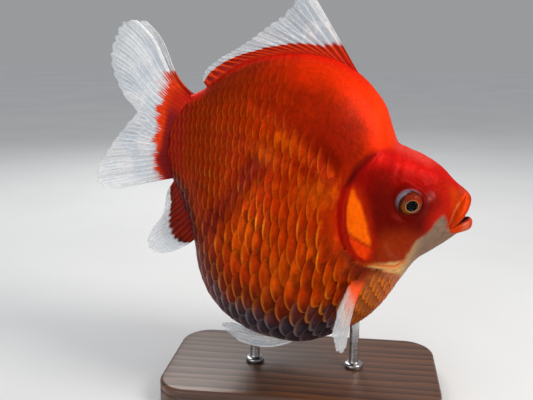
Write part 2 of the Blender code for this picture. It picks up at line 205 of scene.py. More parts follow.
back, belly, half_width = line_through(BACK), line_through(BELLY), line_through(HALF_WIDTH)
widest, upper_power = line_through(WIDEST), line_through(UPPER_POWER)
lower_power = line_through(LOWER_POWER)
gill_x = line_through(sorted([(z, x) for x, z in GILL_LINE]))
crease_z = line_through([(-60, 17), (-47, 21.5), (-34, 23), (-19.3, 19.2), (-6.7, 15.8), (1.4, 11.8),
                         (8.9, 7.1), (14, 1)])
lateral_z = line_through([(-70, 4.5), (-58, 6), (-49, 8.2), (-30, 11.0), (-12.6, 8), (0, 4.5), (12.7, 0.5),
                          (30, -3), (50, -8)])


def level_line(x):
    """Height of the body's widest place."""
    return belly(x) + (back(x) - belly(x)) * widest(x)


def body(x, angle):
    """Points on the body's surface: angle 0 is the left flank, a quarter turn the back."""
    level = level_line(x)
    c, s = np.cos(angle), np.sin(angle)
    power = np.where(s > 0, upper_power(x), lower_power(x))
    height = np.where(s > 0, back(x) - level, level - belly(x))
    y = half_width(x) * np.sign(c) * np.abs(c) ** (2 / power)
    z = level + height * np.sign(s) * np.abs(s) ** (2 / power)
    y = y * (1 - creases(x + 0 * y, z) / CREASE_FULL)
    return np.stack([x + 0 * y, y, z], -1)


def creases(x, z):
    """How far the body draws in along the line above the flank and round the back of the belly."""
    return 1.1 * near_line(UPPER_CREASE, x, z, 3.4) + 1.9 * near_line(BELLY_CREASE, x, z, 5.0)


def world(p):
    """Fish millimetres to the row frame's metres."""
    c, s = math.cos(PITCH), math.sin(PITCH)
    x, y, z = p[..., 0], p[..., 1], p[..., 2]
    return MM * np.stack([x * c + z * s + FISH_AT[0], y + FISH_AT[1], z * c - x * s + FISH_AT[2]], -1)


# ---- meshes

def mesh_piece(name, points, faces, look, colours=None, extra=None, replaces=(), closed=False):
    """A piece from points in the row frame and faces with one number of corners.

    Colours and the extra values are held at its points. A closed piece's faces are turned outwards."""
    points = np.asarray(points, np.float32).reshape(-1, 3)
    faces = np.asarray(faces, np.int32)
    me = bpy.data.meshes.new(name)
    me.vertices.add(len(points))
    me.vertices.foreach_set("co", points.ravel())
    me.loops.add(faces.size)
    me.loops.foreach_set("vertex_index", faces.ravel())
    me.polygons.add(len(faces))
    me.polygons.foreach_set("loop_start", np.arange(0, faces.size, faces.shape[1], dtype=np.int32))
    me.update(calc_edges=True)
    me.validate()
    me.shade_smooth()
    me.materials.append(look)
    if colours is not None:
        rgba = np.concatenate([colours.reshape(-1, 3), np.ones((len(points), 1))], 1)
        made = me.color_attributes.new("tint", "FLOAT_COLOR", "POINT")
        made.data.foreach_set("color", rgba.astype(np.float32).ravel())
    for key, values in (extra or {}).items():
        kind, field = ("FLOAT", "value") if values.ndim == 1 else ("FLOAT_VECTOR", "vector")
        made = me.attributes.new(key, kind, "POINT")
        made.data.foreach_set(field, values.astype(np.float32).ravel())
    obj = bpy.data.objects.new(name, me)
    bpy.context.scene.collection.objects.link(obj)
    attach(obj, "root")
    if replaces:
        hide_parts(*replaces)
    if closed:
        outward(me)
    return obj


def outward(me):
    """Turns a closed mesh's faces outwards, if its volume shows them the other way."""
    me.calc_loop_triangles()
    points = np.empty(len(me.vertices) * 3)
    me.vertices.foreach_get("co", points)
    corners = np.empty(len(me.loop_triangles) * 3, np.int32)
    me.loop_triangles.foreach_get("vertices", corners)
    t = points.reshape(-1, 3)[corners.reshape(-1, 3)]
    if np.einsum("ij,ij->", t[:, 0], np.cross(t[:, 1], t[:, 2])) < 0:
        me.flip_normals()


def grid_faces(rows, columns, wrap=False):
    """Quads over a grid of points stored row by row."""
    r, c = np.meshgrid(np.arange(rows - 1), np.arange(columns if wrap else columns - 1), indexing="ij")
    d = (c + 1) % columns
    quads = [r * columns + c, r * columns + d, (r + 1) * columns + d, (r + 1) * columns + c]
    return np.stack(quads, -1).reshape(-1, 4)


def plate_faces(rows, columns, turned=False):
    """Quads of a closed plate: a grid of top points, the same grid of lower points, and walls between.

    Turned, they face the other way."""
    size = rows * columns
    sheet = grid_faces(rows, columns)
    rim = np.concatenate([np.arange(columns), np.arange(1, rows) * columns + columns - 1,
                          (size - 1) - np.arange(1, columns), np.arange(rows - 2, 0, -1) * columns])
    after = np.roll(rim, -1)
    walls = np.stack([rim, rim + size, after + size, after], -1)
    if turned:
        sheet, walls = sheet[:, ::-1], walls[:, [0, 3, 2, 1]]
    return np.concatenate([sheet, sheet[:, ::-1] + size, walls])


def plate_values(top, under, count=1):
    """Values at the points of plates, for each the top's and then the underside's."""
    width = top.shape[-1]
    both = [v.reshape(count, -1, width) for v in (top, under)]
    return np.concatenate(both, 1).reshape(-1, width)


def grid_normals(p, wrap=False):
    """Unit normals of a grid of points, along its rows and columns."""
    down = np.gradient(p, axis=0)
    if wrap:
        across = np.roll(p, -1, axis=1) - np.roll(p, 1, axis=1)
    else:
        across = np.gradient(p, axis=1)
    return unit(np.cross(down, across))


def unit(vectors):
    """Vectors brought to length 1."""
    return vectors / np.maximum(np.linalg.norm(vectors, axis=-1, keepdims=True), 1e-9)


# ---- markings and painted light and shade, shared by skin and scales

def srgb(r, g, b):
    """The linear colour of a displayed one, given from 0 to 255."""
    c = np.array([r, g, b]) / 255
    return np.where(c <= 0.04045, c / 12.92, ((c + 0.055) / 1.055) ** 2.4)


FLANK, UPPER, REAR = srgb(190, 44, 1), srgb(170, 34, 1), srgb(146, 38, 2)
# the first two are painted light: the hump's top and front edge lit from above and in front, and a
# highlight on the nape
HUMP_LIT, NAPE_HIGHLIGHT, BAND = srgb(240, 46, 2), srgb(255, 66, 18), srgb(160, 28, 20)
# the first two darken the lower flank and belly: partly their own red-brown and silver, partly painted
# shade under the body
LOWER, SILVER_IN_SHADE, BREAST = srgb(130, 36, 3), srgb(50, 58, 70), srgb(226, 122, 48)
# the first is a deeper red, partly the shoulder's own and partly painted shade; the second is painted
# golden sheen
SHOULDER_RED_AND_SHADE, SHEEN_GOLD, GOLDEN = srgb(134, 16, 1), srgb(236, 104, 6), srgb(190, 54, 1)
CROWN, FACE, CHEEK = srgb(214, 18, 14), srgb(160, 4, 3), srgb(102, 7, 3)
# the first is painted shade in the groove along the gill cover's upper edge
NAPE_GROOVE_SHADE, BAND_RED = srgb(84, 8, 10), srgb(170, 8, 3)
# a painted highlight on the crown
CROWN_HIGHLIGHT = srgb(250, 84, 74)
GILL_SHADE, GILL_PALE, BELLY_EDGE = srgb(92, 26, 12), srgb(196, 126, 92), srgb(98, 36, 38)
# painted highlights: on the top of the tail stalk, and a crimson line along the back's top edge
STALK_TOP_HIGHLIGHT, CREST_HIGHLIGHT = srgb(248, 36, 30), srgb(246, 30, 14)
# the first two paint the gill cover's panel: partly its own orange, partly painted light shining through
# the thin cover
OPERCLE, OPERCLE_LOW, COVER_RIM = srgb(255, 104, 2), srgb(232, 56, 4), srgb(190, 26, 6)
# a red-orange margin round the panel, and a dark line partly along the lower plate's seam, partly painted
# shade where the light on the panel ends
PANEL_HALO, PANEL_LINE = srgb(190, 34, 4), srgb(130, 20, 4)
SNOUT, UPPER_LIP_TINT, LOWER_LIP_TINT = srgb(190, 28, 12), srgb(204, 56, 3), srgb(206, 96, 64)
# the first is the snout tip's lighter pink: partly its own colour, partly a painted highlight on its top
SNOUT_TIP, STREAK, LIP_RED = srgb(196, 66, 52), srgb(244, 150, 84), srgb(206, 44, 34)
# the first is the chin's white painted greyer and browner, as in shade
CHIN_IN_SHADE, THROAT, GILL_GOLD = srgb(138, 112, 94), srgb(232, 186, 118), srgb(214, 88, 4)
# the first is painted shade inside the mouth
MOUTH_SHADE, CREAM, PALE_RIM = srgb(70, 14, 10), srgb(232, 196, 150), srgb(168, 176, 196)
EYE_WHITE, NOSTRIL_PINK = srgb(150, 138, 150), srgb(226, 120, 116)
# colours of the scales' pale rims, partly their own and partly painted highlight
RIM_GOLD, RIM_BRONZE, RIM_PALE = srgb(226, 116, 14), srgb(196, 112, 34), srgb(140, 132, 138)
# the second is the crimson skin of the belly's crease with painted shade in the crease
LOW_DEEP, CREASE_RED_SHADE, LOWER_CHEEK = srgb(96, 26, 8), srgb(118, 20, 20), srgb(164, 50, 10)
# the second is a painted glint on scales' rims
CHEST_DEEP, GLINT, LATERAL_LINE = srgb(128, 60, 40), srgb(255, 176, 50), srgb(92, 20, 10)

WHITE_FACE = [(64.5, -12.0), (61.6, -12.0), (59.5, -9.6), (58.5, -6.4), (57.6, -4.3), (56.6, -4.2),
              (55.0, -6.4), (53.9, -9.4), (51.1, -13.2), (47.6, -16.2), (46.9, -20.3), (46.2, -24.2),
              (40, -25.4), (35, -26.6), (30, -29), (36, -33), (46.5, -36), (58, -36), (76, -24),
              (76, -11.8)]
PANEL_FRONT = [(17.2, 3), (18.8, 0.8), (20.3, -1.5), (22.2, -3.6), (25.3, -8.7), (27.7, -13.5),
               (30.0, -19.5), (30.0, -24.3), (28.1, -27.6)]
SUBOPERCLE = [(18.6, -15.6), (21.5, -16.9), (25.1, -18.6), (29.6, -20.2)]
LOWER_PLATE = SUBOPERCLE + [(40, -40), (10, -40)]
MEMBRANE = [(23.9, -27.4), (28.1, -28.3), (32.2, -27.6), (37.6, -27.8), (41.9, -27.9), (45.2, -25.8)]
THROAT_FOLD = [(31.9, -30.1), (38.3, -30.5), (44, -32.3)]
MAXILLA = [(62.9, 2.0), (62.0, -1.5), (61.4, -4.5), (61.2, -7.4)]
MAXILLA_SWELL = [(59.4, 0), (59, -6.5)]
CHEEK_FOLD = [(36, -19.1), (38.3, -22.3), (41.4, -23.8)]
NOSTRIL = (49.4, 3.2)
BREAST_AREA = [(29, -36), (34.5, -31), (47, -33), (52, -40), (44, -60), (36, -66), (28, -66), (24, -52)]
panel_front = line_through(sorted([(z, x) for x, z in PANEL_FRONT]))
LIDS_FACE, EYE_LOOKS = (2, 1), (15, 13)  # degrees forward and down from straight out to the side


def painted(c, *layers):
    """A colour with layers over it in turn, each a colour and how much of it there is at each place."""
    for colour, share in layers:
        c = mix(c, colour, share)
    return c


def behind_gills(x, z):
    """How far behind the edge of the gill cover a place is, negative on the head."""
    far = line_distance(GILL_LINE, x, z)
    return np.where(x < gill_x(z), far, -far)


def lowness(x, z):
    """How far down from the lateral line to the belly a place is, from 0 to 1."""
    middle = lateral_z(x)
    return (middle - z) / np.maximum(middle - belly(x), 1)


def eye_frame(turned):
    """The right eye's middle, and the way it faces when turned by these degrees forward and down."""
    forward, down = (math.radians(a) for a in turned)
    axis = np.array([math.sin(forward), -math.cos(forward) * math.cos(down), -math.sin(down)])
    middle = np.array([EYE_AT[0], -EYE_AT[1], EYE_AT[2]])
    return middle, axis / np.linalg.norm(axis)


def eye_reach(p):
    """Distance from the axis of the eye on that side, height along it, and place from its middle."""
    middle, axis = eye_frame(LIDS_FACE)
    q = np.stack([p[..., 0], -np.abs(p[..., 1]), p[..., 2]], -1) - middle
    along = q @ axis
    return np.linalg.norm(q - along[..., None] * axis, axis=-1), along, q


def paint_trunk(p):
    """Colours of the body behind the gills."""
    x, y, z = p[..., 0], p[..., 1], p[..., 2]
    cloud, grain = waver(p, 10.0, 1.0), waver(p, 3.0, 2.0)
    brush = brushed(x, 0.35 * z + 0.3 * y, 1.1, 7.0)
    down = lowness(x, z)
    above = z - crease_z(x)
    c = painted(
        mix(FLANK, UPPER, smooth(-2, 5, above + 3 * cloud)),
        # painted shade over the flank's own deeper red, on the shoulder and further back
        (SHOULDER_RED_AND_SHADE, 0.9 * bump_at(np.hypot((x - 7) / 1.1, (z - 17) / 1.5), 12)),
        (SHOULDER_RED_AND_SHADE * 0.8, 0.6 * bump_at(np.hypot((x + 25) / 1.2, z - 4), 9)),
        (GOLDEN, 0.8 * smooth(0.10, 0.34, down + 0.2 * cloud) * smooth(0.72, 0.55, down)
         * smooth(-44, -30, x)),
        # darker towards the belly: partly its own colour, partly painted shade under the body
        (LOWER, smooth(0.58, 0.72, down + 0.1 * cloud)),
        # patches of painted golden sheen on the flank
        (SHEEN_GOLD, 0.22 * smooth(0.05, 0.45, cloud + 0.3 * grain) * smooth(-40, -10, x) * smooth(1, -3, above)),
        (SHEEN_GOLD, 0.22 * smooth(0.05, 0.4, brush + 0.5 * cloud) * smooth(-46, -20, x) * smooth(6, -4, above)))
    c = c * (1 + 0.28 * brush + 0.22 * grain)[..., None]
    rim = back(x) - z
    edge = x - (24 - 0.42 * (z - 10))
    return painted(
        c,
        (REAR, 0.75 * smooth(-22, -44, x + 8 * cloud)),
        # painted shade in the belly's crease, over its crimson skin
        (CREASE_RED_SHADE, 0.75 * bump_at(line_distance(BELLY_CREASE, x, z) + 2 * cloud, 4.0)),
        (BAND, smooth(-52, -60, x + 0.12 * z + 3 * cloud)),
        # painted highlights on the stalk's top and along the back's top edge, painted light on the hump's
        # top and front edge, and a painted highlight on the nape
        (STALK_TOP_HIGHLIGHT, 0.9 * smooth(-49, -57, x + 2 * cloud) * smooth(5.5, 1.0, rim + 2 * grain)),
        (HUMP_LIT, 0.9 * smooth(17, 3, rim + 6 * cloud) * smooth(-34, -12, x) * smooth(14, 30, z)),
        (CREST_HIGHLIGHT, 0.7 * smooth(3.2, 0.6, rim + 1.5 * cloud) * smooth(-50, -40, x) * smooth(14, 30, z)),
        (HUMP_LIT, smooth(-4, 6, edge + 5 * cloud) * smooth(4, 16, z)),
        (NAPE_HIGHLIGHT, 0.75 * smooth(2, 11, edge + 5 * cloud) * smooth(8, 20, z)),
        # the belly's silver painted in shade, turning to a darker red-brown towards the rear
        (mix(SILVER_IN_SHADE, BELLY_EDGE, smooth(-27, -36, x)),
         0.9 * smooth(0.68, 0.80, down + 0.25 * cloud + 0.1 * grain) * smooth(30, 20, x)),
        (BREAST, smooth(-3, 3, inside(BREAST_AREA, x, z) + 5 * cloud)))


def paint_head(p):
    """Colours of the head: first the red of its top and cheeks, then the gill cover, chin and eye rings."""
    x, z = p[..., 0], p[..., 2]
    cloud, grain = waver(p, 7.0, 3.0), waver(p, 2.2, 4.0)
    top = (z - 2) / np.maximum(back(x) - 2, 1)
    hanging = smooth(57.6, 61.5, x + 1.5 * cloud + 0.25 * (z + 2)) * smooth(8.5, 4.5, z + 0.4 * (x - 61))
    c = painted(
        # darker down the head's side than on its top: partly the head's own reds, partly painted shade on
        # the side turned from the light
        mix(CHEEK, FACE, smooth(-0.3, 0.5, top + 0.3 * cloud)),
        (CROWN, smooth(0.45, 0.95, top + 0.3 * cloud)),
        (CROWN, 0.85 * smooth(8, 15, z + 2 * cloud) * smooth(46, 38, x)),
        # a painted highlight on the crown
        (CROWN_HIGHLIGHT, 0.6 * smooth(0.74, 0.98, top + 0.2 * cloud) * smooth(53, 45, x)),
        # painted shade on the cheek behind the eye
        (CHEEK, 0.7 * bump_at(np.hypot((x - 29) / 1.3, (z + 8) / 3), 6)),
        (SNOUT, smooth(47, 57, x + 4 * cloud) * smooth(1.0, 0.5, top)),
        (UPPER_LIP_TINT, hanging),
        # lighter pink on top of the snout's tip: partly its own colour, partly a painted highlight
        (SNOUT_TIP, smooth(60, 65, x) * smooth(3.5, 6.5, z)),
        (STREAK, 0.75 * near_line(MAXILLA, x, z, 0.55) * smooth(3, 0, z)),
        (LOWER_CHEEK, 0.7 * smooth(-9, -19, z + 4 * cloud) * smooth(29, 35, x)),
        (CREAM, 0.03 * near_line(CHEEK_FOLD, x, z, 1.0)))
    c = paint_cover(c, x, z, 0.7 * cloud + 0.5 * grain)
    wx, wz = x + 2.4 * cloud + 1.0 * grain, z + 2.0 * cloud + 1.0 * grain
    nostril = np.hypot(x - NOSTRIL[0], z - NOSTRIL[1])
    reach, along, q = eye_reach(p)
    upper_rear = smooth(-0.2, 0.9, (q[..., 2] - q[..., 0]) / np.maximum(reach, 1) / 1.4)
    return painted(
        c,
        # the throat's cream white, turning towards the chin to its white painted in shade
        (mix(THROAT, CHIN_IN_SHADE, smooth(40, 52, x)), smooth(-1.0, 0.8, inside(WHITE_FACE, wx, wz))),
        (GILL_GOLD, 0.8 * near_line(MEMBRANE, x, z, 0.9)),
        (CROWN, 0.5 * near_line(THROAT_FOLD, x, z, 0.5)),
        (NOSTRIL_PINK, 0.55 * bump_at(nostril, 1.7) * (0.6 + 0.8 * grain)),
        (PALE_RIM, 0.55 * bump_at(reach - LID_REACH - 0.1, 0.4) * upper_rear * (along > 0)),
        (CHEEK, 0.5 * bump_at(reach - 6.6, 0.8) * (along > 0)))


def paint_cover(c, x, z, ragged):
    """The gill cover's orange panel on the red of the cheek, with its rims and lines; the panel's orange is
    partly its own and partly painted light shining through the thin cover.
    """
    ahead = -behind_gills(x, z)
    within = panel_front(z) + ragged - x
    halo = smooth(-4.0 - 2.5 * smooth(-8, -1, z), 0.5, within) * smooth(6, 1, z) * smooth(-28, -25, z)
    panel = smooth(-0.5, 1.7, within) * smooth(3.0, 0.0, z) * smooth(-28, -26.5, z)
    panel = panel * smooth(1.4, 2.4, ahead)
    plate = smooth(-0.3, 0.3, inside(LOWER_PLATE, x, z))
    streaks = brushed(1.6 * x + 0.9 * z, 0.25 * z - 0.2 * x, 1.4, 9.0)
    return painted(
        c,
        # painted light shining through the panel over its own orange, with a red-orange margin round it
        (PANEL_HALO, 0.75 * halo * smooth(0.5, 2, ahead)),
        (mix(OPERCLE, OPERCLE_LOW, np.clip(plate + 0.5 * streaks, 0, 1)), panel),
        (COVER_RIM, bump_at(ahead - 0.6, 1.2) * smooth(6, 0, z)),
        (CHEEK, 0.55 * bump_at(ahead - 1.5, 0.4) * smooth(0, -6, z)),
        # a dark line along the lower plate's seam, partly the seam and partly painted shade where the light
        # on the panel ends
        (PANEL_LINE, 0.7 * near_line(SUBOPERCLE, x, z, 0.62)))


def paint(p):
    """The fish's colour at places on its surface, with painted light and shade, in the fish's millimetres.
    """
    x, z = p[..., 0], p[..., 2]
    behind = behind_gills(x, z)
    on_head = smooth(1.4, -0.2, behind)
    crown_fade = smooth(29.0, 33.5, x) * smooth(12, 18, z)
    on_head = np.where(z > 14, np.maximum(on_head * smooth(21, 17, z), crown_fade), on_head)
    crevice = smooth(5.5, 2.0, behind) * smooth(0.2, 1.2, behind) * smooth(-21, -26, z)
    groove = bump_at(behind - 1.0, 1.3) * smooth(-24, -18, z) * smooth(6, 0, z)
    return painted(
        mix(paint_trunk(p), paint_head(p), on_head),
        (BAND_RED, 0.85 * groove),
        (mix(GILL_SHADE, GILL_PALE, smooth(35, 43, x)), 0.8 * crevice),
        (GILL_SHADE, 0.8 * bump_at(np.hypot((x - 26.5) / 1.25, z + 32.5), 4.5)),
        # painted shade in the groove along the gill cover's upper edge
        (NAPE_GROOVE_SHADE, 0.7 * bump_at(behind - 0.3, 1.3) * smooth(0, 4, z) * smooth(19, 15, z)))


def relief(x, z):
    """How boldly the scales stand there, from 0 on the head to 1 on the flank."""
    behind = behind_gills(x, z)
    high = smooth(-2, 5, z - crease_z(x))
    bold = 1 - 0.60 * high - 0.40 * smooth(-28, -2, x) * high
    for calmer in (0.65 * smooth(0, 14, x) * smooth(-16, -2, z),
                   0.45 * smooth(14, 5, back(x) - z) * smooth(-52, -44, x),
                   0.45 * near_line(BELLY_CREASE, x, z, 4.5),
                   0.35 * smooth(26, 34, x) * smooth(-25, -35, z),
                   0.45 * smooth(15, 4, behind) * smooth(-36, -28, z)):
        bold = bold * (1 - calmer)
    return bold * smooth(0.2, 5.5, behind + 2.5 * smooth(-14, -22, z))


# ---- the skin

SKIN_UP, SKIN_DOWN = 190, 158  # points round the body above and below the mouth's corners
TAIL_END, RINGS_CLOSE_FROM, FACE_FROM, FACE_TO = -68.0, 12.0, 44.0, 61.0
RING_STEP, CLOSE_STEP, FACE_RINGS = 1.0, 0.45, 39
FACE_DRAWS_BACK = 3.5  # how much shorter the face is at the mouth's corners than in front
CORNER_ANGLE = -0.38
CORNER = np.array([60.6, 9.1, -10.9])
LIP_STEPS = 7
LIP_SECTION = [(-1.0, 1.18, 1.9), (0.0, 0.86, 1.5), (0.72, 0.48, 0.8), (0.92, 0.0, 0.2), (0.68, -0.6, 0.0),
               (0.0, -0.86, 0.0), (-0.9, -0.62, 0.0)]  # out, up, and up again under the nose
THROAT_AT, THROAT_LEVEL = 60.0, -5.2
LIP_RELIEF_ROWS = 10
TAIL_CAP = ((0.0, 1.6), (0.35, 1.45), (0.65, 1.1), (0.85, 0.6))  # share of the ring's size, how far behind


def lip_points(lip, turn, lower):
    """Rows of points round a lip, from its skin side over the crest into the mouth."""
    front, corner = lip["front"], lip["corner"]
    reach = (front[0] - corner[0]) / (1 - math.cos(LIP_HALF_TURN))
    breadth = corner[1] / math.sin(LIP_HALF_TURN)
    drop = ((0.02 + (1 - np.cos(turn)) / (1 - math.cos(LIP_HALF_TURN))) / 1.02) ** lip["bend"]
    middle = np.stack([front[0] - reach * (1 - np.cos(turn)), breadth * np.sin(turn),
                       front[1] + (corner[2] - front[1]) * drop], -1)
    out = np.stack([breadth * np.cos(turn), reach * np.sin(turn), 0 * turn], -1)
    out /= np.linalg.norm(out, axis=-1, keepdims=True)
    side = np.abs(turn) / LIP_HALF_TURN
    deep, tall = (a + (b - a) * side for a, b in zip(lip["thick"], lip["end"]))
    up = np.array([0, 0, -1.0 if lower else 1.0])
    nose = 0.0 if lower else bump_at(turn, 0.75)
    return [middle + out * (deep * a)[..., None] + up * (tall * b + nose * c)[..., None]
            for a, b, c in LIP_SECTION]


def catmull(points, steps):
    """Rows between the given rows of points, starting at the second and ending at the last but one."""
    rows = []
    for a, b, c, d in zip(points, points[1:], points[2:], points[3:]):
        for i in range(1, steps + 1):
            t = i / steps
            rows.append(0.5 * (2 * b + (c - a) * t + (2 * a - 5 * b + 4 * c - d) * t * t
                               + (3 * b - 3 * c + d - a) * t ** 3))
    return rows


def face_end(turn):
    """Where along the fish the face ends and the lips begin."""
    return FACE_TO - FACE_DRAWS_BACK * np.abs(turn / LIP_HALF_TURN) ** 1.5


def mouth_rows(angles, turn, lower):
    """Rows of points from the end of the face over the lips to the dark of the mouth."""
    shut = smooth(0.72, 1.0, np.abs(turn) / LIP_HALF_TURN)[:, None]
    side = np.sign(turn + 1e-9)
    inward = np.array([-0.75, 0, 0]) - side[:, None] * np.array([0, 0.55, 0])
    corner = np.stack([0 * turn + CORNER[0], side * CORNER[1], 0 * turn + CORNER[2]], -1)
    rows = [body(face_end(turn) - 2.5, angles), body(face_end(turn), angles)]
    lips = zip(lip_points(UPPER_LIP, turn, False), lip_points(LOWER_LIP, turn, True))
    for i, (above, below) in enumerate(lips):
        row = np.where(lower[:, None], below, above)
        rows.append(row * (1 - shut) + shut * (corner + inward * (i - 2.5) * 0.42))
    y, z = rows[-1][:, 1], rows[-1][:, 2]
    throat = np.stack([0 * turn + THROAT_AT, 0.55 * y, THROAT_LEVEL + 0.45 * (z - THROAT_LEVEL)], -1)
    rows.append(throat)
    rows.append(throat * np.array([1, 0.3, 0.3]) + np.array([-4.0, 0, -3.6]))
    return rows


def skin_columns():
    """For each point round the body: its angle, if it is under the mouth, and its turn along the lip."""
    up = np.linspace(CORNER_ANGLE, math.pi - CORNER_ANGLE, SKIN_UP, endpoint=False)
    down = np.linspace(math.pi - CORNER_ANGLE, 2 * math.pi + CORNER_ANGLE, SKIN_DOWN, endpoint=False)
    angles = np.concatenate([up, down])
    lower = np.concatenate([np.zeros(SKIN_UP, bool), np.ones(SKIN_DOWN, bool)])
    share_up = 1 - 2 * np.arange(SKIN_UP) / SKIN_UP
    share_down = -1 + 2 * np.arange(SKIN_DOWN) / SKIN_DOWN
    return angles, lower, LIP_HALF_TURN * np.concatenate([share_up, share_down])


def head_relief(p):
    """Height that folds, grooves and plates add to the skin, in millimetres."""
    x, z = p[..., 0], p[..., 2]
    behind = behind_gills(x, z)
    low = smooth(-30, -26, z)
    ahead = -behind
    top = smooth(19, 13, z)
    cover = smooth(FACE_FROM, 33, x)
    h = 0.55 * smooth(-0.1, 1.1, ahead) * cover * top * low
    h = h - 1.15 * bump_at(behind - 0.7, 0.75) * top * smooth(-31, -27, z)
    h = h - 0.35 * near_line(COVER_FRONT, x, z, 0.8) * top * low
    h = h - 0.3 * near_line(SUBOPERCLE, x, z, 0.6)
    fold = line_distance(MEMBRANE, x, z)
    under = smooth(0.5, -0.5, z + 27.6)
    h = h - 0.7 * bump_at(fold, 0.55) + 0.5 * bump_at(fold - 1.1, 0.7) * under
    h = h - 0.5 * bump_at(fold - 2.1, 0.5) * under + 0.35 * bump_at(fold - 3.0, 0.6) * under
    h = h - 0.4 * near_line(THROAT_FOLD, x, z, 0.6)
    h = h - 0.45 * near_line(MAXILLA, x, z, 0.5)
    h = h + 0.45 * near_line(MAXILLA_SWELL, x, z, 1.0)
    nostril = np.hypot(x - NOSTRIL[0], z - NOSTRIL[1])
    flap = np.hypot(x - NOSTRIL[0] - 0.9, z - NOSTRIL[1] - 0.2)
    h = h - 0.9 * bump_at(nostril + 0.3, 0.9) + 0.45 * bump_at(flap, 0.7)
    h = h + 0.15 * bump_at(nostril - 1.5, 0.6)
    lumps = 0.30 * waver(p, 5.0, 5.0) + 0.12 * waver(p, 1.7, 6.0)
    return h + lumps * smooth(2, 8, ahead)


def eye_socket(p):
    """Moves of the skin that make the ring of the eye and the socket under it."""
    reach, along = eye_reach(p)[:2]
    axis = eye_frame(LIDS_FACE)[1] * np.ones_like(p)
    axis[..., 1] *= np.where(p[..., 1] > 0, -1, 1)
    globe = np.sqrt(np.maximum((EYE_RADIUS - 0.25) ** 2 - reach ** 2, 0.0))
    crest = math.sqrt(EYE_RADIUS ** 2 - LID_REACH ** 2) + 0.12
    under = globe - 0.25 - 3.4 * smooth(LID_REACH - 0.15, LID_REACH - 0.9, reach)
    wanted = mix_number(under, crest - 0.35 * smooth(LID_REACH + 0.3, 7.5, reach),
                        smooth(LID_REACH - 0.35, LID_REACH + 0.1, reach))
    ahead = (along > 0) & (p[..., 0] > 20)
    pull = np.where(reach < LID_REACH + 0.3, 1.0, smooth(9.0, LID_REACH + 0.3, reach)) * ahead
    return axis * (pull * (wanted - along))[..., None]


def make_skin(look):
    """One surface from behind the tail fin's root to the dark of the mouth."""
    angles, lower, turn = skin_columns()
    rear = np.arange(TAIL_END, RINGS_CLOSE_FROM, RING_STEP)
    close = np.arange(RINGS_CLOSE_FROM, FACE_FROM, CLOSE_STEP)
    rings = [body(np.full_like(angles, x), angles) for x in np.concatenate([rear, close])]
    rings += [body(FACE_FROM + (face_end(turn) - FACE_FROM) * t, angles)
              for t in np.linspace(0, 1, FACE_RINGS, endpoint=False)]
    rings.append(body(face_end(turn), angles))
    face_rows = len(rings)
    base = np.array(rings + catmull(mouth_rows(angles, turn, lower), LIP_STEPS))
    normals = grid_normals(base, wrap=True)
    normals *= np.sign(normals[len(rear) // 2, SKIN_UP // 8, 1])
    x, z = base[..., 0], base[..., 2]
    sunk = (COAT + 0.1) * np.maximum(relief(x, z), 0.12 * smooth(0, 2, behind_gills(x, z)))
    fade = np.ones((len(base), 1))
    fade[face_rows:] = 0
    fade[face_rows:face_rows + LIP_RELIEF_ROWS, 0] = np.linspace(1, 0, LIP_RELIEF_ROWS)
    p = base + normals * ((head_relief(base) - sunk) * fade)[..., None]
    p[:face_rows] += eye_socket(p[:face_rows])
    middle_z = 0.5 * (p[0, :, 2].max() + p[0, :, 2].min())
    cap = [p[0] * np.array([0, share, share]) + np.array([TAIL_END - push, 0, middle_z * (1 - share)])
           for share, push in TAIL_CAP]
    p = np.concatenate([np.array(cap), p])
    base = np.concatenate([np.repeat(base[:1], len(cap), axis=0), base])
    tint = paint_lips(paint(base), p, lower, turn, face_rows + len(cap))
    mesh_piece("goldfish_skin", world(p), grid_faces(len(p), len(angles), wrap=True),
               look, tint, replaces=("trunk", "tail_stalk", "head", "gill_cover_left", "gill_cover_right",
                                     "upper_jaw", "lower_jaw"))


def paint_lips(tint, p, lower, turn, first):
    """Lip colours over the rows of the mouth: orange above, pale pink below, and painted shade inside."""
    step = np.arange(len(p) - first)[:, None] / LIP_STEPS
    grain = waver(p[first:], 2.0, 8.0)
    side = np.abs(turn) / LIP_HALF_TURN
    pale = lower * smooth(0.80, 0.62, side) + 0 * step
    lip = painted(
        mix(UPPER_LIP_TINT, LOWER_LIP_TINT, pale),
        (LIP_RED, 0.8 * pale * bump_at(side - 0.30 + 0.3 * grain, 0.14) * smooth(1.2, 2.2, step)))
    tint[first:] = painted(
        tint[first:],
        (lip, smooth(0.2, 1.6, step + 0.5 * grain) * np.where(lower, 1.0, 0.6)),
        # painted shade inside the mouth
        (MOUTH_SHADE, smooth(4.9, 6.4, step + 0.4 * grain)))
    return tint


# ---- the scales

ROW_TALL = line_through([(-70, 4.4), (-55, 5.4), (-45, 6.2), (-30, 7.4), (-15, 8.8), (0, 9.6), (8, 9.4),
                         (16, 8.0), (30, 5.2), (40, 3.7), (52, 3.4)])
SCALE_STEP = line_through([(-70, 2.3), (-55, 2.6), (-40, 3.0), (-25, 3.6), (-10, 4.3), (6, 4.7), (14, 4.1),
                           (25, 3.2), (40, 2.4), (52, 2.2)])
STALK_END = line_through([(-20, -56), (-12.7, -57.2), (-6.6, -60.3), (1.9, -62.2), (10.3, -63.6),
                          (18, -65), (30, -66)])
TABLE_STEP = 0.5
TABLE_X = np.arange(-69.0, 54.01, TABLE_STEP)
TABLE_D = np.arange(-140.0, 90.01, TABLE_STEP)
ALONG = np.array([0, 0.2, 0.4, 0.52, 0.6, 0.67, 0.74, 0.8, 0.86, 0.91, 0.95, 0.98, 1.0])
ACROSS = np.array([-1, -0.9, -0.76, -0.58, -0.38, -0.18, 0, 0.18, 0.38, 0.58, 0.76, 0.9, 1.0])
OVERLAP, SCALE_TALL, SCALE_THICK, EDGE_STANDS = 2.15, 0.94, 0.10, 0.11
